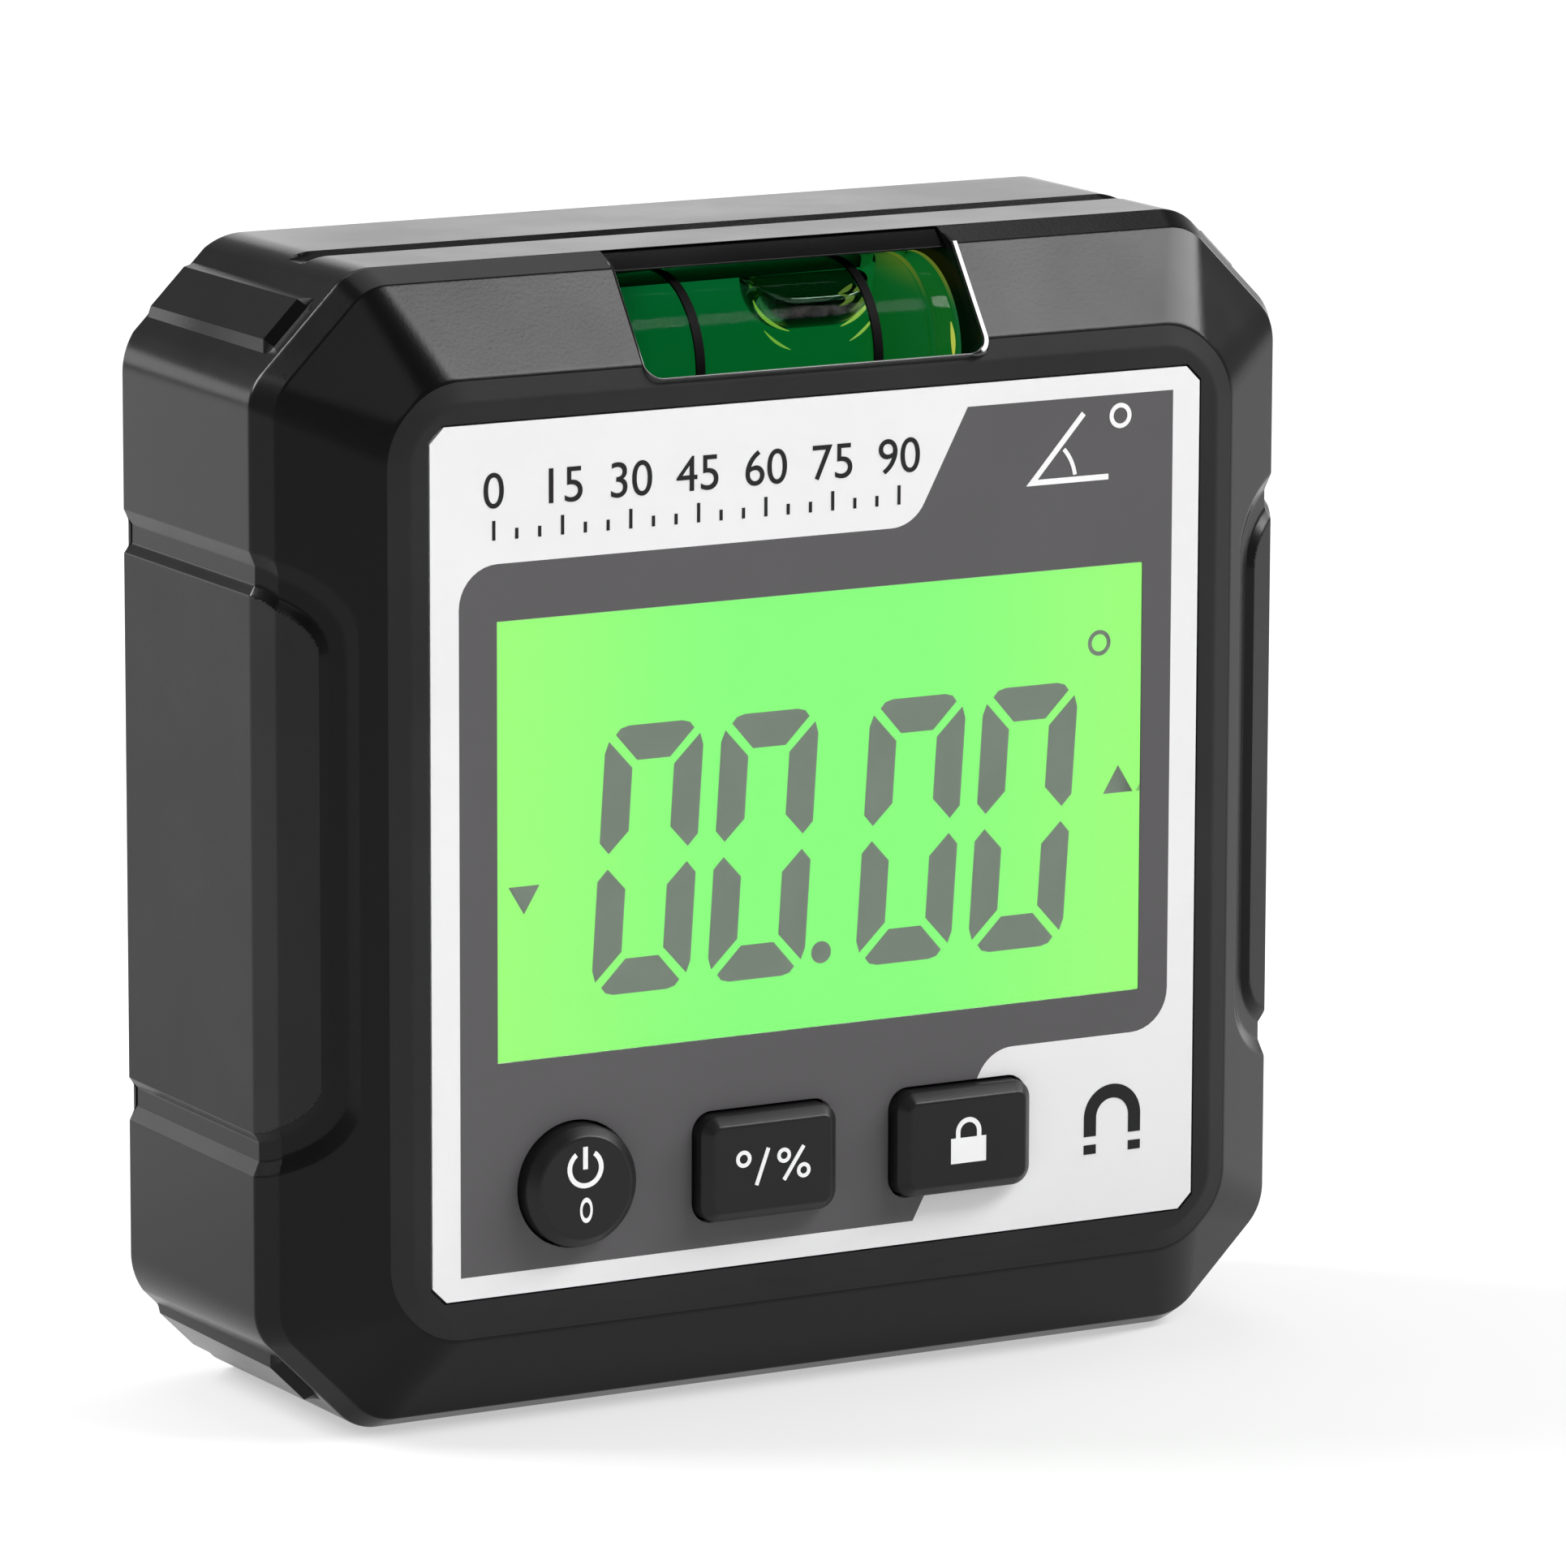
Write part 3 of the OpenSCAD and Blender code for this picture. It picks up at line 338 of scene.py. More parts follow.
def corner_draft(y):
    """The corner chamfers lean out towards the back."""
    stop = BODY_D - BACK_EDGE
    return CORNER_DRAFT * ramp(y, SIDE_Y + PLATE_GAP, stop) * (1 - ramp(y, stop, BODY_D))


def corner_plate(y, s):
    """Height of the raised plate on a corner chamfer."""
    start, stop = SIDE_Y + PLATE_GAP, BODY_D - BACK_EDGE
    rise = min(ramp(y, start, start + PLATE_T), 1 - ramp(y, stop - PLATE_T / 2, stop))
    rise = min(rise, 1 - ramp(abs(s), PLATE_W / 2 - PLATE_T, PLATE_W / 2))
    lean = corner_draft(y)
    return lean + (PLATE_T - lean) * rise


def top_groove(y):
    stop = TOP_GROOVE_Y + TOP_GROOVE_W
    return GROOVE_D * min(ramp(y, TOP_GROOVE_Y, TOP_GROOVE_Y + TOP_GROOVE_RUN),
                          1 - ramp(y, stop - TOP_GROOVE_RUN, stop))


def section_path():
    """The housing's section as inset and depth, from the ring at the front to the inside."""
    fall = (BEVEL_RUN - BEVEL_D) / BEVEL_W
    skin = [(BEVEL_W + RIM_W + WALL, BAND_D + WALL * fall), (RIM_W + WALL, BEVEL_Y + WALL * fall)]
    part = (WALL_Y - skin[0][1]) / (skin[1][1] - skin[0][1])
    points = [
        (FRONT_INSET + RING_FLAT, 0), (FRONT_INSET, 0), (BEVEL_W + RIM_W, BAND_D),
        (RIM_W, BEVEL_Y), (0, SIDE_Y), (0, BODY_D - BACK_EDGE), (BACK_EDGE, BODY_D),
        (COVER_LIP, BODY_D), (COVER_LIP, COVER_Y), (WALL, COVER_Y), (WALL, SIDE_Y + WALL * fall),
        skin[1], (skin[0][0] + part * (skin[1][0] - skin[0][0]), WALL_Y),
    ]
    return fillet(points, SECTION_RADII)


def section_marks():
    """Depths at which the outside needs a line for a groove or a corner plate."""
    top = [TOP_GROOVE_Y, TOP_GROOVE_Y + TOP_GROOVE_RUN,
           TOP_GROOVE_Y + TOP_GROOVE_W - TOP_GROOVE_RUN, TOP_GROOVE_Y + TOP_GROOVE_W]
    plate = SIDE_Y + PLATE_GAP
    marks = [GRIP_FRONT - GROOVE_FRONT_W * q for q in GROOVE_SHARES]
    marks += [plate, plate + PLATE_T, BODY_D - BACK_EDGE - PLATE_T / 2]
    marks += [m + d for m in top for d in (-GROOVE_SUPPORT, 0, GROOVE_SUPPORT)]
    marks += [m for m in range(math.ceil(plate + 1), math.floor(BODY_D))
              if all(abs(m - t) > CLEAR_OF_GROOVE for t in top)]
    return marks


def section_rows():
    """Rows of the housing's mesh: inset and depth, outward normal, and whether it is outside."""
    path, marks = section_path(), section_marks()
    rows = []
    outside = True
    for a, b in zip(path, path[1:]):
        outside = outside and a.y < BODY_D - 1e-6
        length = (b - a).length
        cuts = {0.0}
        if length > 4 * ROW_SUPPORT:
            cuts |= {ROW_SUPPORT / length, 1 - ROW_SUPPORT / length}
            if outside and b.y > a.y:
                cuts |= {(m - a.y) / (b.y - a.y) for m in marks
                         if a.y + LEAST_ROW < m < b.y - LEAST_ROW}
                fine = int(length / FINE)
                cuts |= {i / fine for i in range(1, fine)
                         if FINE_FRONT < a.y + (b.y - a.y) * i / fine < FINE_BACK}
        kept = []
        for c in sorted(cuts):
            if not kept or (c - kept[-1]) * length > LEAST_ROW:
                kept.append(c)
        step = (b - a).normalized()
        rows += [[a + (b - a) * c, Vector((step.y, step.x)), outside] for c in kept]
    rows.append([path[-1], rows[-1][1], False])
    normals = [row[1] for row in rows]
    for i in range(1, len(rows)):
        rows[i][1] = (normals[i - 1] + normals[i]).normalized()
    return rows


def lcd_pocket():
    x0, x1 = GLASS_LOW.x / MM - FIT, GLASS_HIGH.x / MM + FIT
    z0, z1 = GLASS_LOW.z / MM - FIT, GLASS_HIGH.z / MM + FIT
    return [(x0, z0), (x1, z0), (x1, z1), (x0, z1)]


def round_key(grow):
    return circle(POWER_X, KEY_Z, POWER_D / 2 + grow)


def oblong_key(x):
    def outline(grow):
        return round_rect(x, KEY_Z, KEY_W + 2 * grow, KEY_H + 2 * grow,
                          max(KEY_LEAST_R, KEY_R + grow))
    return outline


KEYS = {"power": round_key, "unit": oblong_key(UNIT_X), "hold": oblong_key(HOLD_X)}


def face_outline(grow):
    w, c = FACE_HALF + grow, FACE_CORNER
    corners = [(w, w - c), (w - c, w), (c - w, w), (-w, w - c),
               (-w, c - w), (c - w, -w), (w - c, -w), (w, c - w)]
    return [(x, z + MID_Z) for x, z in corners]


def mark_finishes(bm):
    """The grip pads take the second material, and the ring round the face plate the third."""
    for face in bm.faces:
        middle = face.calc_center_median()
        y, z = middle.y - FRONT_Y, middle.z - MID_Z
        skin = BODY_W / 2 - WALL / 2 - max(0.0, (SIDE_Y - y) * BEVEL_W / BEVEL_D)
        outer = abs(middle.x) > skin and y < BODY_D - LEAST_ROW
        if y < BAND_D - RING_EDGE:
            face.material_index = 2
        elif outer and grip_distance(y, z, GRIP_FRONT, GRIP_H / 2, GRIP_R) < 0:
            face.material_index = 1


def shell_point(row, column):
    """Point of the housing's skin, moved in or out where a groove or a corner plate is."""
    section, normal, outside = row
    place, out, k, s = column
    x, y, z = place.x, section.y, place.y
    if outside:
        shift = 0.0
        if k in (0, 4):
            shift = -grip_groove(y, z)
        elif k is None:
            shift = corner_draft(y) * s * s
        elif k % 2:
            shift = corner_plate(y, s)
        x, z = x + out.x * normal.x * shift, z + out.y * normal.x * shift
        y = y + normal.y * shift
        z = min(z, MID_Z - top_groove(y))
    return (x, min(y, BODY_D) + FRONT_Y, z + MID_Z)


def housing_shell():
    bm = bmesh.new()
    rows = [add_loop(bm, [shell_point(row, column) for column in outline_columns(row[0].x)])
            for row in section_rows()]
    for a, b in zip(rows, rows[1:]):
        bridge(bm, a, b)
    holes = [lcd_pocket()] + [outline(KEY_GAP) for outline in KEYS.values()]

    def at(outline, y):
        return add_loop(bm, [(x, y + FRONT_Y, z) for x, z in outline])

    rim, floor = at(face_outline(FIT), 0), at(face_outline(FIT), FACE_T)
    bridge(bm, rim, floor)
    fill(bm, [rows[0], rim])
    front_holes, back_holes = [at(h, FACE_T) for h in holes], [at(h, WALL_Y) for h in holes]
    for a, b in zip(front_holes, back_holes):
        bridge(bm, a, b)
    fill(bm, [floor] + front_holes)
    fill(bm, [rows[-1]] + back_holes)
    mark_finishes(bm)
    return bm


def bevel_height(y, z):
    """How far a place is up along the bevel, from the vial's axis."""
    return (y - VIAL_Y) * math.sin(BEVEL_TILT) + (z - VIAL_Z) * math.cos(BEVEL_TILT)


def bevel_point(x, out, up):
    """Place given from the vial's axis: out along the bevel's normal and up along the bevel."""
    c, s = math.cos(BEVEL_TILT), math.sin(BEVEL_TILT)
    return (x, VIAL_Y - out * c + up * s + FRONT_Y, VIAL_Z + out * s + up * c)


def vial_window_outline():
    top, r = bevel_height(SIDE_Y, BODY_H), VIAL_WINDOW_R
    low = top - VIAL_WINDOW_H
    return ([(WINDOW_LEFT, top)] + arc(WINDOW_LEFT + r, low + r, r, 180, 270, 10)
            + arc(WINDOW_RIGHT - r, low + r, r, 270, 360, 10) + [(WINDOW_RIGHT, top)])


def vial_arc(x, r, start, stop, steps):
    """Points round the vial's axis, with angles in degrees from the back over the top."""
    return [(x, VIAL_Y + FRONT_Y + a, VIAL_Z + b) for a, b in arc(0, 0, r, start, stop, steps)]


def vial_loop(x, r, steps=96):
    return vial_arc(x, r, 0, 360, steps)[:-1]


def window_cutter():
    bm = bmesh.new()
    outline = vial_window_outline()
    add_loft(bm, [[bevel_point(x, out, up) for x, up in outline] for out in (VIAL_R * 2, 0)])
    return bm


def seat_cutter():
    bm = bmesh.new()
    ends = VIAL_LEFT - FIT, max(VIAL_RIGHT, WINDOW_RIGHT) + FIT
    add_loft(bm, [vial_loop(x, VIAL_R + FIT) for x in ends])
    return bm


def cradle_block():
    bm = bmesh.new()
    low = VIAL_Z - VIAL_R - CRADLE_WALL
    section = [(y, BODY_H - drop) for y, drop in CRADLE_SECTION]
    section = [(section[0][0], low), *section, (section[-1][0], low)]
    ends = VIAL_LEFT - CRADLE_END, VIAL_RIGHT + CRADLE_END
    add_loft(bm, [[(x, y + FRONT_Y, z) for y, z in section] for x in ends])
    return bm


def carve(obj, *steps):
    """Joins or cuts other solids, and keeps the result as the object's own mesh."""
    tools = []
    for operation, bm in steps:
        tool = make_object("tool", bm, None, body=None)
        modifier = obj.modifiers.new(operation, "BOOLEAN")
        modifier.operation, modifier.object, modifier.solver = operation, tool, "MANIFOLD"
        tools.append(tool)
    graph = bpy.context.evaluated_depsgraph_get()
    mesh = bpy.data.meshes.new_from_object(obj.evaluated_get(graph))
    obj.modifiers.clear()
    obj.data = mesh
    for tool in tools:
        bpy.data.objects.remove(tool)


def crease_housing(mesh):
    """Smooth shading with sharp edges. The corner plates have theirs from a smaller angle on."""
    mesh.shade_smooth()
    bm = bmesh.new()
    bm.from_mesh(mesh)
    for edge in bm.edges:
        middle = (edge.verts[0].co + edge.verts[1].co) / (2 * MM)
        reach = abs(middle.x) + abs(middle.z - MID_Z)
        plate = (reach > BODY_W - CORNER_LEG - NEAR_CORNER
                 and middle.y - FRONT_Y > SIDE_Y + PLATE_GAP - NEAR_PLATE)
        limit = math.radians(PLATE_CREASE if plate else CREASE)
        edge.smooth = len(edge.link_faces) != 2 or edge.calc_face_angle(0.0) < limit
    bm.to_mesh(mesh)
    bm.free()


# Materials
def new_material(name):
    material = bpy.data.materials.new(name)
    material.use_nodes = True
    nodes, links = material.node_tree.nodes, material.node_tree.links
    return material, nodes, links, nodes["Principled BSDF"]


def noise(nodes, links, coords, scale, detail=3.0):
    node = nodes.new("ShaderNodeTexNoise")
    node.inputs["Scale"].default_value = scale
    node.inputs["Detail"].default_value = detail
    links.new(coords.outputs["Object"], node.inputs["Vector"])
    return node.outputs["Fac"]


def spread(nodes, links, source, low, high):
    """Maps the middle of a noise to a range of values."""
    node = nodes.new("ShaderNodeMapRange")
    node.inputs["From Min"].default_value = 0.3
    node.inputs["From Max"].default_value = 0.7
    node.inputs["To Min"].default_value = low
    node.inputs["To Max"].default_value = high
    links.new(source, node.inputs["Value"])
    return node.outputs["Result"]


def blend(nodes, links, factor, a, b):
    """Colour between two colours."""
    node = nodes.new("ShaderNodeMix")
    node.data_type = "RGBA"
    links.new(factor, node.inputs["Factor"])
    node.inputs[6].default_value = (*a, 1)
    node.inputs[7].default_value = (*b, 1)
    return node.outputs[2]


def bump(nodes, links, shader, height, strength, distance):
    node = nodes.new("ShaderNodeBump")
    node.inputs["Strength"].default_value = strength
    node.inputs["Distance"].default_value = distance
    links.new(height, node.inputs["Height"])
    links.new(node.outputs["Normal"], shader.inputs["Normal"])


def plastic(name, colour, roughness, grain=5200, depth=0.12, specular=0.5, vary=0.25):
    """Moulded plastic: fine grain, slow changes in gloss and a slight change in colour."""
    material, nodes, links, shader = new_material(name)
    coords = nodes.new("ShaderNodeTexCoord")
    slow, fine = noise(nodes, links, coords, 140), noise(nodes, links, coords, grain, 2)
    darker = tuple(c * (1 - vary) for c in colour)
    tone = blend(nodes, links, spread(nodes, links, slow, 0, 1), darker, colour)
    links.new(tone, shader.inputs["Base Color"])
    links.new(spread(nodes, links, slow, *roughness), shader.inputs["Roughness"])
    shader.inputs["Specular IOR Level"].default_value = specular
    bump(nodes, links, shader, fine, depth, 0.00003)
    return material


def metal(name, colour, roughness, stretch):
    """Brushed or plated metal, with fine lines along one direction."""
    material, nodes, links, shader = new_material(name)
    coords = nodes.new("ShaderNodeTexCoord")
    mapping = nodes.new("ShaderNodeMapping")
    mapping.inputs["Scale"].default_value = stretch
    links.new(coords.outputs["Object"], mapping.inputs["Vector"])
    texture = nodes.new("ShaderNodeTexNoise")
    texture.inputs["Scale"].default_value = 1500
    links.new(mapping.outputs["Vector"], texture.inputs["Vector"])
    lines = texture.outputs["Fac"]
    darker = tuple(c * 0.7 for c in colour)
    links.new(blend(nodes, links, lines, darker, colour), shader.inputs["Base Color"])
    links.new(spread(nodes, links, lines, *roughness), shader.inputs["Roughness"])
    shader.inputs["Metallic"].default_value = 1.0
    bump(nodes, links, shader, lines, 0.1, 0.00002)
    return material


def clear(name, tint, ior, roughness, density=0.0, absorb=(1, 1, 1)):
    """Clear moulded piece with faint waves in its surface, and colour in its depth if any."""
    material, nodes, links, shader = new_material(name)
    coords = nodes.new("ShaderNodeTexCoord")
    waves = noise(nodes, links, coords, 260, 1)
    shader.inputs["Base Color"].default_value = (*tint, 1)
    shader.inputs["Transmission Weight"].default_value = 1.0
    shader.inputs["IOR"].default_value = ior
    gloss = spread(nodes, links, waves, roughness, roughness * 1.6)
    links.new(gloss, shader.inputs["Roughness"])
    bump(nodes, links, shader, waves, 0.03, 0.00005)
    if density:
        volume = nodes.new("ShaderNodeVolumeAbsorption")
        volume.inputs["Color"].default_value = (*absorb, 1)
        volume.inputs["Density"].default_value = density
        links.new(volume.outputs["Volume"], nodes["Material Output"].inputs["Volume"])
    return material


def glow(name, axis, strength, *stops):
    """Lit piece, its colour turning along one axis."""
    material, nodes, links, shader = new_material(name)
    coords = nodes.new("ShaderNodeTexCoord")
    parts = nodes.new("ShaderNodeSeparateXYZ")
    links.new(coords.outputs["Generated"], parts.inputs["Vector"])
    turning = nodes.new("ShaderNodeValToRGB")
    turning.color_ramp.interpolation = "EASE"
    colours = turning.color_ramp.elements
    while len(colours) < len(stops):
        colours.new(1.0)
    for element, (place, colour) in zip(colours, stops):
        element.position, element.color = place, (*colour, 1)
    links.new(parts.outputs[axis], turning.inputs["Fac"])
    links.new(turning.outputs["Color"], shader.inputs["Emission Color"])
    shader.inputs["Emission Strength"].default_value = strength
    shader.inputs["Base Color"].default_value = (0.01, 0.02, 0.01, 1)
    shader.inputs["Roughness"].default_value = 0.5
    shader.inputs["Specular IOR Level"].default_value = 0.1
    return material


def floor_material():
    """Pale paper. The camera and reflections see it half lit by itself, so that it stays white."""
    material = plastic("floor_paper", (0.74, 0.74, 0.74), (0.8, 0.9), grain=900, depth=0.02,
                       specular=0.0, vary=0.01)
    nodes, links = material.node_tree.nodes, material.node_tree.links
    path = nodes.new("ShaderNodeLightPath")
    seen = path.outputs["Is Camera Ray"]
    for kind in ("Is Glossy Ray", "Is Transmission Ray"):
        either = nodes.new("ShaderNodeMath")
        either.operation = "MAXIMUM"
        links.new(seen, either.inputs[0])
        links.new(path.outputs[kind], either.inputs[1])
        seen = either.outputs["Value"]
    half = nodes.new("ShaderNodeMath")
    half.operation = "MULTIPLY"
    links.new(seen, half.inputs[0])
    half.inputs[1].default_value = 0.5
    mixed = nodes.new("ShaderNodeMixShader")
    links.new(half.outputs["Value"], mixed.inputs["Fac"])
    links.new(nodes["Principled BSDF"].outputs["BSDF"], mixed.inputs[1])
    links.new(nodes.new("ShaderNodeEmission").outputs["Emission"], mixed.inputs[2])
    links.new(mixed.outputs["Shader"], nodes["Material Output"].inputs["Surface"])
    return material


def board_material():
    """Green solder mask with copper tracks under it."""
    material, nodes, links, shader = new_material("solder_mask")
    coords = nodes.new("ShaderNodeTexCoord")
    tracks = nodes.new("ShaderNodeTexBrick")
    tracks.inputs["Scale"].default_value = 420
    tracks.inputs["Color1"].default_value = (0.012, 0.12, 0.035, 1)
    tracks.inputs["Color2"].default_value = (0.015, 0.15, 0.045, 1)
    tracks.inputs["Mortar"].default_value = (0.03, 0.24, 0.08, 1)
    mapping = nodes.new("ShaderNodeMapping")
    mapping.inputs["Rotation"].default_value = (math.radians(90), 0, 0)
    links.new(coords.outputs["Object"], mapping.inputs["Vector"])
    links.new(mapping.outputs["Vector"], tracks.inputs["Vector"])
    links.new(tracks.outputs["Color"], shader.inputs["Base Color"])
    shader.inputs["Roughness"].default_value = 0.3
    bump(nodes, links, shader, tracks.outputs["Fac"], 0.2, 0.00003)
    return material


black = plastic("black_plastic", (0.003, 0.003, 0.0032), (0.19, 0.25), specular=0.14)
# The ring round the face plate: its rougher satin finish is real, and its lighter colour is painted
# sheen standing in for reflected light
ring_satin_painted_sheen = plastic("ring_satin_painted_sheen", (0.019, 0.019, 0.0195), (0.4, 0.5), specular=0.16)
grip_rubber = plastic("grip_rubber", (0.0155, 0.0155, 0.016), (0.55, 0.65), grain=7000, depth=0.25,
                      specular=0.2)
key_black = plastic("key_plastic", (0.0105, 0.010, 0.011), (0.30, 0.38), grain=6500, specular=0.22)
gloss_black = plastic("lip_plastic", (0.004, 0.004, 0.0042), (0.08, 0.12), depth=0.03, specular=0.8)
white = plastic("plate_white", (0.735, 0.732, 0.737), (0.38, 0.46), depth=0.04, specular=0.3,
                vary=0.02)
grey = plastic("field_grey", (0.09, 0.086, 0.09), (0.45, 0.55), depth=0.05, specular=0.2, vary=0.04)
ink_black = plastic("ink_black", (0.012, 0.012, 0.013), (0.45, 0.55), depth=0.03, specular=0.2)
ink_white = plastic("ink_white", (0.82, 0.82, 0.82), (0.45, 0.55), depth=0.03, specular=0.2,
                    vary=0.03)
segment_ink = plastic("segment_ink", (0.212, 0.26, 0.21), (0.5, 0.6), depth=0.02, specular=0.1,
                      vary=0.03)
chip_resin = plastic("chip_resin", (0.016, 0.018, 0.019), (0.5, 0.6), grain=9000, depth=0.2)
rubber = plastic("contact_rubber", (0.10, 0.11, 0.12), (0.6, 0.7), depth=0.2)
panel = plastic("light_guide", (0.85, 0.87, 0.83), (0.3, 0.4), depth=0.05)
jacket = plastic("cell_jacket", (0.045, 0.07, 0.125), (0.2, 0.3), depth=0.03)
ring_ink = plastic("ring_ink", (0.004, 0.004, 0.004), (0.5, 0.6), depth=0.02, specular=0.05)
steel = metal("plated_steel", (0.55, 0.56, 0.58), (0.22, 0.34), (1, 6, 1))
brass = metal("contact_metal", (0.75, 0.58, 0.25), (0.25, 0.38), (6, 1, 1))
window_clear = clear("window_clear", (1, 1, 1), 1.12, 0.02)
liquid = clear("vial_green", (1, 1, 1), 1.07, 0.01, 150, (0.02, 0.86, 0.42))
end_cap = clear("vial_end", (1, 1, 1), 1.15, 0.01, 120, (0.66, 0.85, 0.10))
# Painted shade: the bubble's dark grey tint stands in for the dark wall that it reflects
bubble_painted_shade = clear("bubble_painted_shade", (0.10, 0.12, 0.10), 1.5, 0.02)
LCD_MIDDLE, LCD_EDGE = (0.245, 1.0, 0.205), (0.335, 1.0, 0.195)
lcd_lit = glow("display_lit", "X", 0.98,
               (0.02, LCD_EDGE), (0.4, LCD_MIDDLE), (0.64, LCD_MIDDLE), (1.0, LCD_EDGE))
# Painted light: a glowing sheet behind the vial stands in for the daylight a real vial gathers, and
# it is darker towards its left end as painted shade
painted_vial_light = glow("vial_painted_backlight", "X", 0.5,
               (0, (0.003, 0.05, 0.02)), (0.16, (0.004, 0.11, 0.045)), (0.36, (0.005, 0.24, 0.085)),
               (0.9, (0.006, 0.26, 0.08)), (1, (0.012, 0.25, 0.07)))
# Painted light: glowing discs at the vial's ends, with a painted yellow highlight near their top
painted_end_light = glow("vial_painted_end_light", "Z", 0.5,
                 (0, (0.012, 0.17, 0.04)), (0.72, (0.012, 0.2, 0.05)), (0.92, (0.22, 0.32, 0.03)))
# Painted glints: glowing yellow-green colour that stands in for light round the bubble and on the
# vial's end
painted_glint_glow = glow("bubble_painted_glints", "X", 0.8,
                (0, (0.3, 0.5, 0.05)), (0.4, (0.5, 0.62, 0.12)), (1, (0.55, 0.62, 0.08)))
solder_mask = board_material()

# CAD nodes that stay as they are
node_materials = {
    black: ["rear_cover", "battery_door", "vial_retainer"],
    steel: ["battery_door_screw", "case_screws", "board_screws", "power_switch", "unit_switch",
            "hold_switch", "left_magnet", "right_magnet", "upper_spring", "lower_spring"],
    white: ["face_plate"],
    grey: ["face_field"],
    window_clear: ["display_window"],
    lcd_lit: ["lcd_glass"],
    panel: ["backlight_panel", "backlight_lamp"],
    rubber: ["contact_strip"],
    solder_mask: ["main_board"],
    chip_resin: ["tilt_sensor", "controller_chip", "power_plunger", "unit_plunger",
                 "hold_plunger"],
    jacket: ["upper_cell", "lower_cell"],
    brass: ["positive_contact", "negative_contact", "bridge_contact"],
}
for material, names in node_materials.items():
    for name in names:
        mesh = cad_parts[name].data
        mesh.materials.clear()
        mesh.materials.append(material)
        smooth(mesh, 30)

# Housing, with the vial's cradle, seat and window
housing = make_object("case_shell", housing_shell(), black, sharp=CREASE, stands_for=["housing"])
housing.data.materials.append(grip_rubber)
# The ring's material is lighter than the black plastic as painted sheen
housing.data.materials.append(ring_satin_painted_sheen)
carve(housing, ("UNION", cradle_block()), ("DIFFERENCE", window_cutter()),
      ("DIFFERENCE", seat_cutter()))
crease_housing(housing.data)

# Lip round the vial's window: its two sections, and how far its ends reach up the rim
LIP_LARGE = [(0, -0.06), (0, 0.12), (0.07, 0.2), (0.29, 0.2), (0.4, 0.06), (0.42, -0.1)]
LIP_SMALL = [(0, -0.02), (0, 0.03), (0.05, 0.06), (0.06, 0.06), (0.12, 0.0), (0.12, -0.03)]
LIP_END = 0.55


def lip_path():
    out, top = VIAL_R + VIAL_SINK, bevel_height(BEVEL_Y, BODY_H - RIM_W)
    y, z = BEVEL_Y + RIM_D * LIP_END + FRONT_Y, BODY_H - RIM_W * (1 - LIP_END)
    points = [(WINDOW_LEFT, y, z), bevel_point(WINDOW_LEFT, out, top)]
    points += [bevel_point(x, out, up) for x, up in vial_window_outline()[1:-1]]
    points += [bevel_point(WINDOW_RIGHT, out, top), (WINDOW_RIGHT, y, z)]
    return [Vector(p) for p in points]


def path_step(path, i):
    """Direction of a path at one of its points."""
    return (path[min(len(path) - 1, i + 1)] - path[max(0, i - 1)]).normalized()


def add_lip(bm, path):
    """Bead along the window's edge. It is large at the window's right end and small elsewhere."""
    normal = Vector((0, -math.cos(BEVEL_TILT), math.sin(BEVEL_TILT)))
    low, high = WINDOW_RIGHT - VIAL_WINDOW_R, WINDOW_RIGHT - VIAL_WINDOW_R / 3
    loops = []
    for i, p in enumerate(path):
        step = path_step(path, i)
        side = step.cross(normal).normalized()
        share = ramp(p.x, low, high) if i < len(path) - 1 else 0
        section = [Vector(a).lerp(Vector(b), share) for a, b in zip(LIP_SMALL, LIP_LARGE)]
        loops.append([p + q.x * side + q.y * side.cross(step) for q in section])
    add_loft(bm, loops)


bm = bmesh.new()
add_lip(bm, lip_path())
make_object("vial_lip", bm, gloss_black, sharp=30)

# Dark inner wall over the vial, just inside the window
BROW_LOW, BROW_TOP, BROW_BACK = BODY_H - RIM_W - 0.3, BODY_H - 0.12, SIDE_Y + 1.0
BROW_GAP, BROW_RADII = 0.05, [0.06, 0.2]
brow = fillet([(BROW_BACK, BROW_LOW), (BEVEL_Y + 0.35, BROW_LOW), (SIDE_Y + 0.05, BROW_TOP),
               (BROW_BACK, BROW_TOP)], BROW_RADII)
bm = bmesh.new()
add_loft(bm, [[(x, y + FRONT_Y, z) for y, z in brow]
              for x in (WINDOW_LEFT + BROW_GAP, WINDOW_RIGHT - BROW_GAP)])
make_object("vial_brow", bm, black)


# Keys
def key_section():
    """Section of a key from its flange to its front: growth of the outline, and depth."""
    front = [(0.0, FLANGE_Y), (0.0, KEY_BEVEL + KEY_TOP), (-KEY_BEVEL, KEY_TOP),
             (-KEY_BEVEL - KEY_FLAT, KEY_TOP)]
    back = [(FLANGE_REACH, FLANGE_Y + FLANGE_T), (FLANGE_REACH, FLANGE_Y)]
    return back + [tuple(p) for p in fillet(front, KEY_EDGE_RADII, 8)]


for key, outline in KEYS.items():
    bm = bmesh.new()
    add_loft(bm, [[(x, y + FRONT_Y, z) for x, z in outline(grow)] for grow, y in key_section()])
    make_object(key + "_cap", bm, key_black, body=key + "_key", sharp=50,
                stands_for=[key + "_button"])


# Print: thin shapes on a face
def sector(cx, cz, r_in, r_out, start, stop, steps=24):
    return arc(cx, cz, r_out, start, stop, steps) + arc(cx, cz, r_in, stop, start, steps)


def ring(cx, cz, r_in, r_out, narrow=1.0):
    """Outer and inner outline of a ring, or of an oval where it is narrow."""
    return tuple([(cx + narrow * (x - cx), z) for x, z in circle(cx, cz, r, 48)]
                 for r in (r_out, r_in))


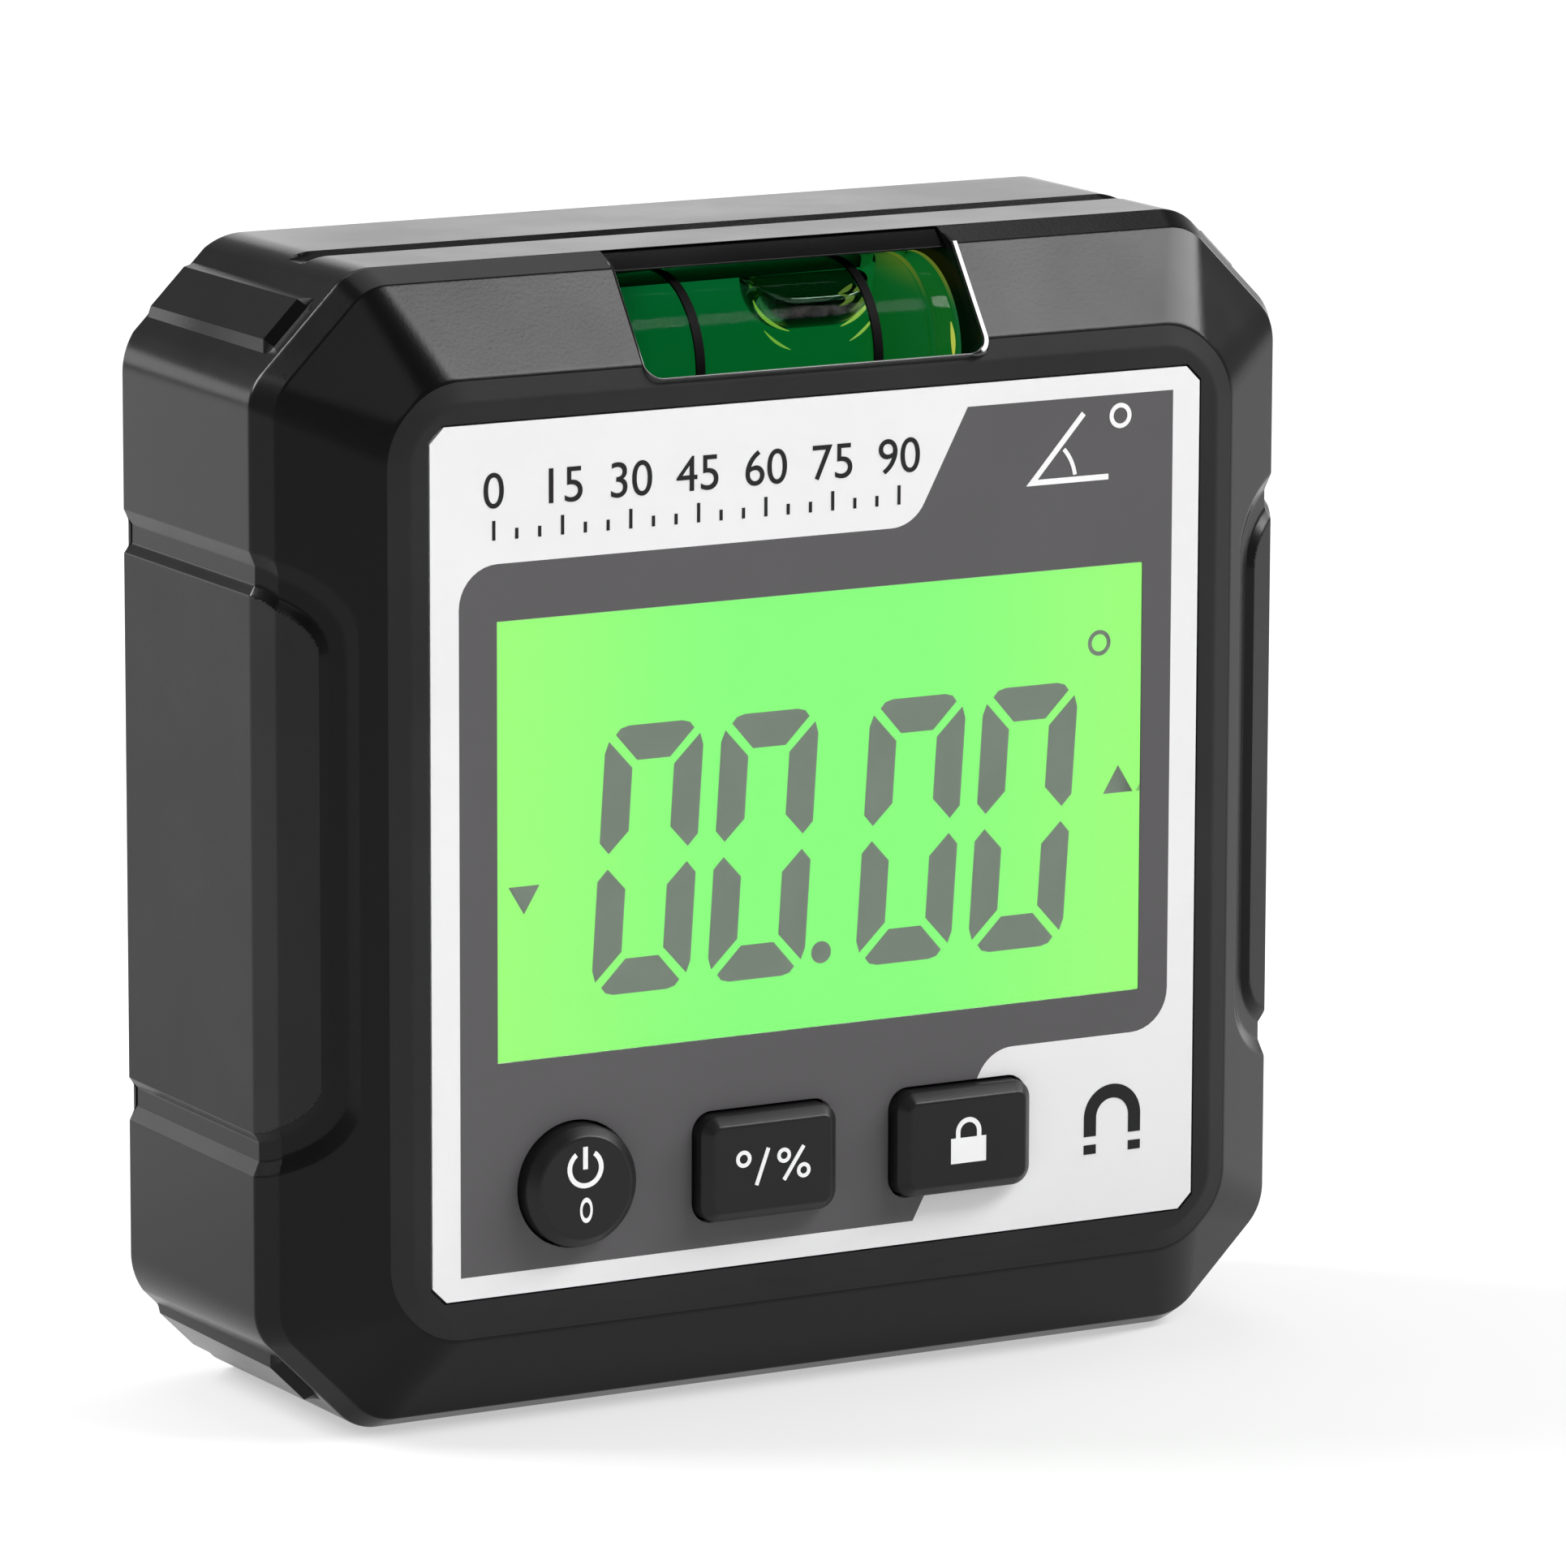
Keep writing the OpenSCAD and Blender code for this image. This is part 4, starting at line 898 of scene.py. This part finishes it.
def bar(x0, z0, x1, z1, w):
    step = Vector((x1 - x0, z1 - z0)).normalized() * (w / 2)
    return [(x0 - step.y, z0 + step.x), (x0 + step.y, z0 - step.x),
            (x1 + step.y, z1 - step.x), (x1 - step.y, z1 + step.x)]


def rect(x0, z0, x1, z1):
    return [(x0, z0), (x1, z0), (x1, z1), (x0, z1)]


def bow(cx, cz, r_in, r_out, foot):
    """Half ring with two straight legs."""
    return ([(cx + r_out, foot)] + arc(cx, cz, r_out, 0, 180, 32)
            + [(cx - r_out, foot), (cx - r_in, foot)]
            + arc(cx, cz, r_in, 180, 0, 32) + [(cx + r_in, foot)])


def printed(name, outlines, y, material, body="case"):
    """Ink on a face at depth y. A pair of outlines is a ring."""
    bm = bmesh.new()
    front, back = y - INK_T + FRONT_Y, y + FRONT_Y
    for outline in outlines:
        if isinstance(outline, tuple):
            add_frame(bm, *outline, front, back)
        else:
            add_prism(bm, outline, front, back)
    make_object(name, bm, material, body=body)


# Signs on the keys: power and a plain 0, degree and percent, and a lock
x, z = POWER_X - 0.05, KEY_Z + 1.05
power_sign = [sector(x, z, 0.78, 1.04, 125, 415), bar(x, z - 0.05, x, z + 1.12, 0.27),
              ring(POWER_X, KEY_Z - 1.15, 0.42, 0.66, 0.55)]
printed("power_sign", power_sign, KEY_TOP, ink_white, "power_key")
x, z = UNIT_X, KEY_Z
unit_sign = [ring(x - 1.75, z + 0.5, 0.24, 0.45), bar(x - 1.0, z - 0.95, x - 0.3, z + 0.95, 0.22),
             bar(x + 0.62, z - 0.85, x + 1.78, z + 0.85, 0.22),
             ring(x + 0.62, z + 0.45, 0.2, 0.4), ring(x + 1.78, z - 0.45, 0.2, 0.4)]
printed("unit_sign", unit_sign, KEY_TOP, ink_white, "unit_key")
x, z = HOLD_X, KEY_Z
hold_sign = [rect(x - 1.05, z - 1.15, x + 1.05, z + 0.2), bow(x, z + 0.5, 0.5, 0.76, z + 0.2)]
printed("hold_sign", hold_sign, KEY_TOP, ink_white, "hold_key")

# Magnet sign on the white footer
MAGNET_X, MAGNET_Z, MAGNET_IN, MAGNET_OUT = 17.6, 12.98, 0.98, 1.72
MAGNET_FOOT, POLE_LOW, POLE_HIGH = 12.0, 11.05, 11.55
poles = [rect(x, POLE_LOW, x + MAGNET_OUT - MAGNET_IN, POLE_HIGH)
         for x in (MAGNET_X - MAGNET_OUT, MAGNET_X + MAGNET_IN)]
printed("magnet_sign", [bow(MAGNET_X, MAGNET_Z, MAGNET_IN, MAGNET_OUT, MAGNET_FOOT)] + poles, 0,
        ink_black)

# Scale with plain numbers in the white header. Every third tick is long and has a number.
SCALE_LEFT, SCALE_STEP, TICKS, TICK_HALF = -18.9, 1.3, 18, 0.09
TICK_FOOT, TICK_SHORT, TICK_LONG = 46.55, 47.1, 47.55
NUMBER_STEP, NUMBER_SIZE, NUMBER_Z = 15, 2.6, 48.2


def tick_place(i):
    return SCALE_LEFT + SCALE_STEP * i


def number(name, text, x):
    curve = bpy.data.curves.new(name, "FONT")
    curve.body, curve.size, curve.align_x = text, NUMBER_SIZE, "CENTER"
    curve.extrude = INK_T / 2
    obj = bpy.data.objects.new(name, curve)
    bpy.context.scene.collection.objects.link(obj)
    graph = bpy.context.evaluated_depsgraph_get()
    mesh = bpy.data.meshes.new_from_object(obj.evaluated_get(graph))
    bpy.data.objects.remove(obj)
    upright = Matrix.Rotation(math.radians(90), 4, "X")
    mesh.transform(Matrix.Translation((x, FRONT_Y - INK_T / 2, NUMBER_Z)) @ upright)
    bm = bmesh.new()
    bm.from_mesh(mesh)
    bmesh.ops.remove_doubles(bm, verts=bm.verts, dist=0.001)
    make_object(name, bm, ink_black)


ticks = [rect(tick_place(i) - TICK_HALF, TICK_FOOT, tick_place(i) + TICK_HALF,
              TICK_SHORT if i % 3 else TICK_LONG) for i in range(TICKS + 1)]
printed("header_scale", ticks, 0, ink_black)
for i in range(TICKS // 3 + 1):
    number("header_number_%d" % i, str(NUMBER_STEP * i), tick_place(3 * i))

# Angle sign in the upper right of the grey field
ANGLE_X, ANGLE_Z, ANGLE_ARM, ANGLE_STROKE, ANGLE_TURN = 12.4, 46.9, 4.6, 0.3, 48


def angle_arms():
    """Two strokes that meet in a corner, as one outline."""
    c, s = math.cos(math.radians(ANGLE_TURN)), math.sin(math.radians(ANGLE_TURN))
    inner = ANGLE_STROKE / math.tan(math.radians(ANGLE_TURN / 2))
    tip_x, tip_z = ANGLE_ARM * c, ANGLE_ARM * s + ANGLE_STROKE / 2
    across_x, across_z = ANGLE_STROKE * s / 2, ANGLE_STROKE * c / 2
    points = [(-inner / 2, 0), (ANGLE_ARM, 0), (ANGLE_ARM, ANGLE_STROKE), (inner / 2, ANGLE_STROKE),
              (tip_x + across_x, tip_z - across_z), (tip_x - across_x, tip_z + across_z)]
    return [(ANGLE_X + x, ANGLE_Z + z) for x, z in points]


angle_sign = [angle_arms(), sector(ANGLE_X, ANGLE_Z, 2.5, 2.72, 9, ANGLE_TURN - 5),
              ring(ANGLE_X + 5.3, ANGLE_Z + 3.3, 0.42, 0.66)]
printed("angle_sign", angle_sign, 0, ink_white)

# Display segments: 00.00 with a degree sign and two arrows
SLANT, DIGIT_Z = 0.066, 29.35
DIGIT_X = (-9.82, -3.09, 5.63, 12.36)
UPRIGHT = [(2.63, 6.2), (2.84, 5.6), (2.84, 1.0), (2.29, 0.4), (1.21, 1.5), (1.21, 4.75)]
LEVEL_BAR = [(1.55, 6.95), (2.0, 6.83), (2.26, 6.52), (0.95, 5.13),
             (-0.95, 5.13), (-2.26, 6.52), (-2.0, 6.83), (-1.55, 6.95)]
UP_ARROW = [(17.2, 30.15), (18.98, 30.15), (18.09, 31.6)]
DOWN_ARROW = [(-17.82, 28.55), (-16.95, 27.1), (-16.06, 28.55)]
SEGMENT_GAP = 0.005
digit = [[(sx * x, sz * z) for x, z in UPRIGHT] for sx in (-1, 1) for sz in (-1, 1)]
digit += [[(x, sz * z) for x, z in LEVEL_BAR] for sz in (-1, 1)]
segments = [[(cx + x + SLANT * z, DIGIT_Z + z) for x, z in s] for cx in DIGIT_X for s in digit]
segments += [circle(0.33, 23.4, 0.58, 32), ring(16.88, 38.2, 0.46, 0.68), UP_ARROW, DOWN_ARROW]
printed("display_segments", segments, GLASS_LOW.y / MM - FRONT_Y - SEGMENT_GAP, segment_ink)


# Vial: coloured liquid in its clear tube, a bubble tinted dark as painted shade, its painted
# glints, a clear end, two rings, and glowing sheets at its ends and behind it: painted light that
# stands in for the daylight that a real vial gathers
def vial_ends(left, right, r, ease):
    """Loops of a rod along the vial with rounded ends."""
    path = fillet([(left, 0.0), (left, r), (right, r), (right, 0.0)], [ease, ease], 15)
    return [vial_loop(p.x, max(p.y, TIP_R)) for p in path]


def add_band(bm, left, right, r_in, r_out, start, stop, steps):
    """Closed band round part of the vial."""
    corners = ((left, r_in), (left, r_out), (right, r_out), (right, r_in))
    add_loft(bm, zip(*[vial_arc(x, r, start, stop, steps) for x, r in corners]))


def bubble_loops(steps=24, sides=64):
    """Long bubble, flattened where it meets the tube's bore."""
    loops = []
    r, reach = BUBBLE_D / 2, VIAL_BORE_R - BUBBLE_WALL
    span = BUBBLE_LEN / 2 - r
    for i in range(2 * steps + 1):
        turn = math.pi * i / (2 * steps)
        x = BUBBLE_X - math.cos(turn) * r + (span if i > steps else -span if i < steps else 0)
        loop = []
        for a, b in circle(0, 0, max(TIP_R, r * math.sin(turn)), sides):
            p = Vector((a, b + BUBBLE_Z))
            if p.length > reach:
                p = p.normalized() * reach
            loop.append((x, VIAL_Y + FRONT_Y + p.x, VIAL_Z + p.y))
        loops.append(loop)
    return loops


# Painted glints: glowing tubes round the bubble's underside, given as half width, half height,
# start, stop and radius. They lie in front of the vial's axis. The last glint is on the vial's
# clear end. GLINT_UP is about the bevel's normal.
GLINTS = ((3.6, 2.35, 192, 246, 0.08), (3.7, 3.3, 218, 248, 0.06), (3.6, 2.35, 296, 340, 0.08),
          (4.2, 3.3, 300, 330, 0.06), (2.9, 1.5, 312, 350, 0.12), (2.3, 1.05, 305, 348, 0.09))
GLINT_Y, GLINT_STEPS, GLINT_SIDES = 1.0, 16, 8
GLINT_UP = Vector((0, -0.81, 0.587))
END_GLINT_IN, END_GLINT_START, END_GLINT_STOP, END_GLINT_R = 0.4, 160, 183, 0.1


def add_glint(bm, path, radius):
    """Tube along a path, thin at its ends."""
    loops = []
    for i, p in enumerate(path):
        r = radius * (0.25 + math.sin(math.pi * i / (len(path) - 1)))
        step = path_step(path, i)
        side = step.cross(GLINT_UP).normalized()
        up = side.cross(step)
        loops.append([p + a * side + b * up for a, b in circle(0, 0, r, GLINT_SIDES)])
    add_loft(bm, loops)


def bubble_arc(a, b, start, stop):
    y, z = VIAL_Y + FRONT_Y - GLINT_Y, VIAL_Z + BUBBLE_Z
    return [Vector((BUBBLE_X + a * c, y, z + b * s))
            for c, s in arc(0, 0, 1, start, stop, GLINT_STEPS)]


bm = bmesh.new()
add_loft(bm, vial_ends(VIAL_LEFT, VIAL_RIGHT - PLUG_LEN, VIAL_R, VIAL_EASE))
make_object("vial_green", bm, liquid, sharp=50, stands_for=["vial_tube", "vial_liquid"])

# The bubble's dark tint is painted shade
bm = bmesh.new()
add_loft(bm, bubble_loops())
make_object("vial_bubble", bm, bubble_painted_shade, sharp=60)

# Painted glints round the bubble's underside and on the vial's clear end
bm = bmesh.new()
for a, b, start, stop, radius in GLINTS:
    add_glint(bm, bubble_arc(a, b, start, stop), radius)
end_path = vial_arc(VIAL_RIGHT - END_GLINT_IN, VIAL_R, END_GLINT_START, END_GLINT_STOP, GLINT_STEPS)
add_glint(bm, [Vector(p) for p in end_path], END_GLINT_R)
make_object("bubble_painted_glints", bm, painted_glint_glow, sharp=60)

bm = bmesh.new()
add_loft(bm, vial_ends(VIAL_RIGHT - PLUG_LEN + PLUG_GAP, VIAL_RIGHT, VIAL_R, PLUG_EASE))
make_object("vial_end", bm, end_cap, sharp=50, stands_for=["vial_plug"])

# Painted light: glowing discs at both ends of the vial, which are no lamps
bm = bmesh.new()
for x in (VIAL_LEFT - PAINTED_LIGHT_GAP - PAINTED_LIGHT_T, VIAL_RIGHT + PAINTED_LIGHT_GAP):
    add_loft(bm, vial_ends(x, x + PAINTED_LIGHT_T, VIAL_R, PAINTED_END_EASE))
make_object("vial_painted_end_light", bm, painted_end_light)

bm = bmesh.new()
for side in (-1, 1):
    x = (VIAL_LEFT + VIAL_RIGHT) / 2 + side * RING_PITCH / 2
    add_band(bm, x - RING_BAND / 2, x + RING_BAND / 2, VIAL_R - RING_SINK, VIAL_R + RING_PROUD,
             RING_START, RING_STOP, 48)
make_object("vial_rings", bm, ring_ink)

# Painted light: a glowing sheet behind the vial, which is no lamp
bm = bmesh.new()
add_band(bm, VIAL_LEFT, VIAL_RIGHT + PAINTED_LIGHT_GAP + PAINTED_LIGHT_T, VIAL_R + PAINTED_LIGHT_GAP,
         VIAL_R + PAINTED_LIGHT_GAP + PAINTED_LIGHT_T, PAINTED_LIGHT_START, PAINTED_LIGHT_STOP, 40)
make_object("vial_seat", bm, painted_vial_light, sharp=50)

# Floor and light, in metres. The world's light is given as height and strength, low and high.
FLOOR_REACH = 4.0
LIGHT_AIM = (0, 0, 0.03)
WORLD_LOW, WORLD_HIGH = (0.15, 0.5), (0.7, 0.16)


def area_light(name, place, size, radiance, aim=LIGHT_AIM, length=None):
    """Soft lamp. Its long side lies along length where that is given."""
    data = bpy.data.lights.new(name, "AREA")
    data.shape, data.size, data.size_y = "RECTANGLE", *size
    data.energy = radiance * math.pi * size[0] * size[1]
    light = bpy.data.objects.new(name, data)
    light.location = place
    light.rotation_mode = "QUATERNION"
    away = (Vector(place) - Vector(aim)).normalized()
    if length is None:
        light.rotation_quaternion = away.to_track_quat("Z", "Y")
    else:
        side = away.cross(Vector(length)).normalized()
        turn = Matrix((side.cross(away), side, away)).transposed()
        light.rotation_quaternion = turn.to_quaternion()
    bpy.context.scene.collection.objects.link(light)


def studio_world():
    """White light from all round, weaker overhead."""
    world = bpy.data.worlds.new("studio")
    world.use_nodes = True
    nodes, links = world.node_tree.nodes, world.node_tree.links
    coords = nodes.new("ShaderNodeTexCoord")
    parts = nodes.new("ShaderNodeSeparateXYZ")
    height = nodes.new("ShaderNodeMapRange")
    height.interpolation_type = "SMOOTHSTEP"
    for end, (place, strength) in (("Min", WORLD_LOW), ("Max", WORLD_HIGH)):
        height.inputs["From " + end].default_value = place
        height.inputs["To " + end].default_value = strength
    links.new(coords.outputs["Generated"], parts.inputs["Vector"])
    links.new(parts.outputs["Z"], height.inputs["Value"])
    links.new(height.outputs["Result"], nodes["Background"].inputs["Strength"])
    nodes["Background"].inputs["Color"].default_value = (1, 1, 1, 1)
    return world


mesh = bpy.data.meshes.new("floor")
corners = [(x * FLOOR_REACH, y * FLOOR_REACH, 0) for x, y in ((-1, -1), (1, -1), (1, 1), (-1, 1))]
mesh.from_pydata(corners, [], [(0, 1, 2, 3)])
floor = bpy.data.objects.new("floor", mesh)
bpy.context.scene.collection.objects.link(floor)
mesh.materials.append(floor_material())

area_light("key", (0.686, -0.392, 0.722), (0.93, 0.24), 18.5, length=(0.55, 0.33, -0.36))
area_light("top", (0.25, 0.7, 1.2), (1.0, 1.0), 2.1, aim=(0.25, 0.6, 0))
area_light("back", (0.62, 1.1, 0.26), (0.6, 0.6), 0.9)
area_light("wall", (-0.47, 0.95, 0.15), (0.5, 0.2), 2.4)
area_light("left", (-0.42, 0.34, 0.42), (0.3, 0.3), 23.0, aim=(-0.12, 0.16, 0))
area_light("edge", (1.08, 0.42, 0.33), (0.3, 0.3), 8.0)
area_light("fill", (-0.347, -0.754, 0.706), (0.36, 0.36), 1.4)
bpy.context.scene.world = studio_world()

# Camera at the photograph's angle: it looks at a point just beside the face plate's middle
AZIMUTH, ELEVATION, ROLL = math.radians(-29.09), math.radians(11.07), math.radians(0.178)
DISTANCE, LENS, SENSOR = 0.5125, 229.0, 36.0
AIM = Vector((-1.50, FRONT_Y + 1.35, 32.27)) * MM
back = Vector((math.sin(AZIMUTH) * math.cos(ELEVATION), -math.cos(AZIMUTH) * math.cos(ELEVATION),
               math.sin(ELEVATION)))
camera = bpy.data.objects.new("camera", bpy.data.cameras.new("camera"))
camera.data.lens, camera.data.sensor_width = LENS, SENSOR
camera.data.clip_start, camera.data.clip_end = 0.01, 20.0
camera.rotation_mode = "QUATERNION"
camera.location = AIM + back * DISTANCE
camera.rotation_quaternion = ((-back).to_track_quat("-Z", "Y").to_matrix()
                              @ Matrix.Rotation(ROLL, 3, "Z")).to_quaternion()
bpy.context.scene.collection.objects.link(camera)
bpy.context.scene.camera = camera
bpy.context.scene.view_settings.view_transform = "Standard"
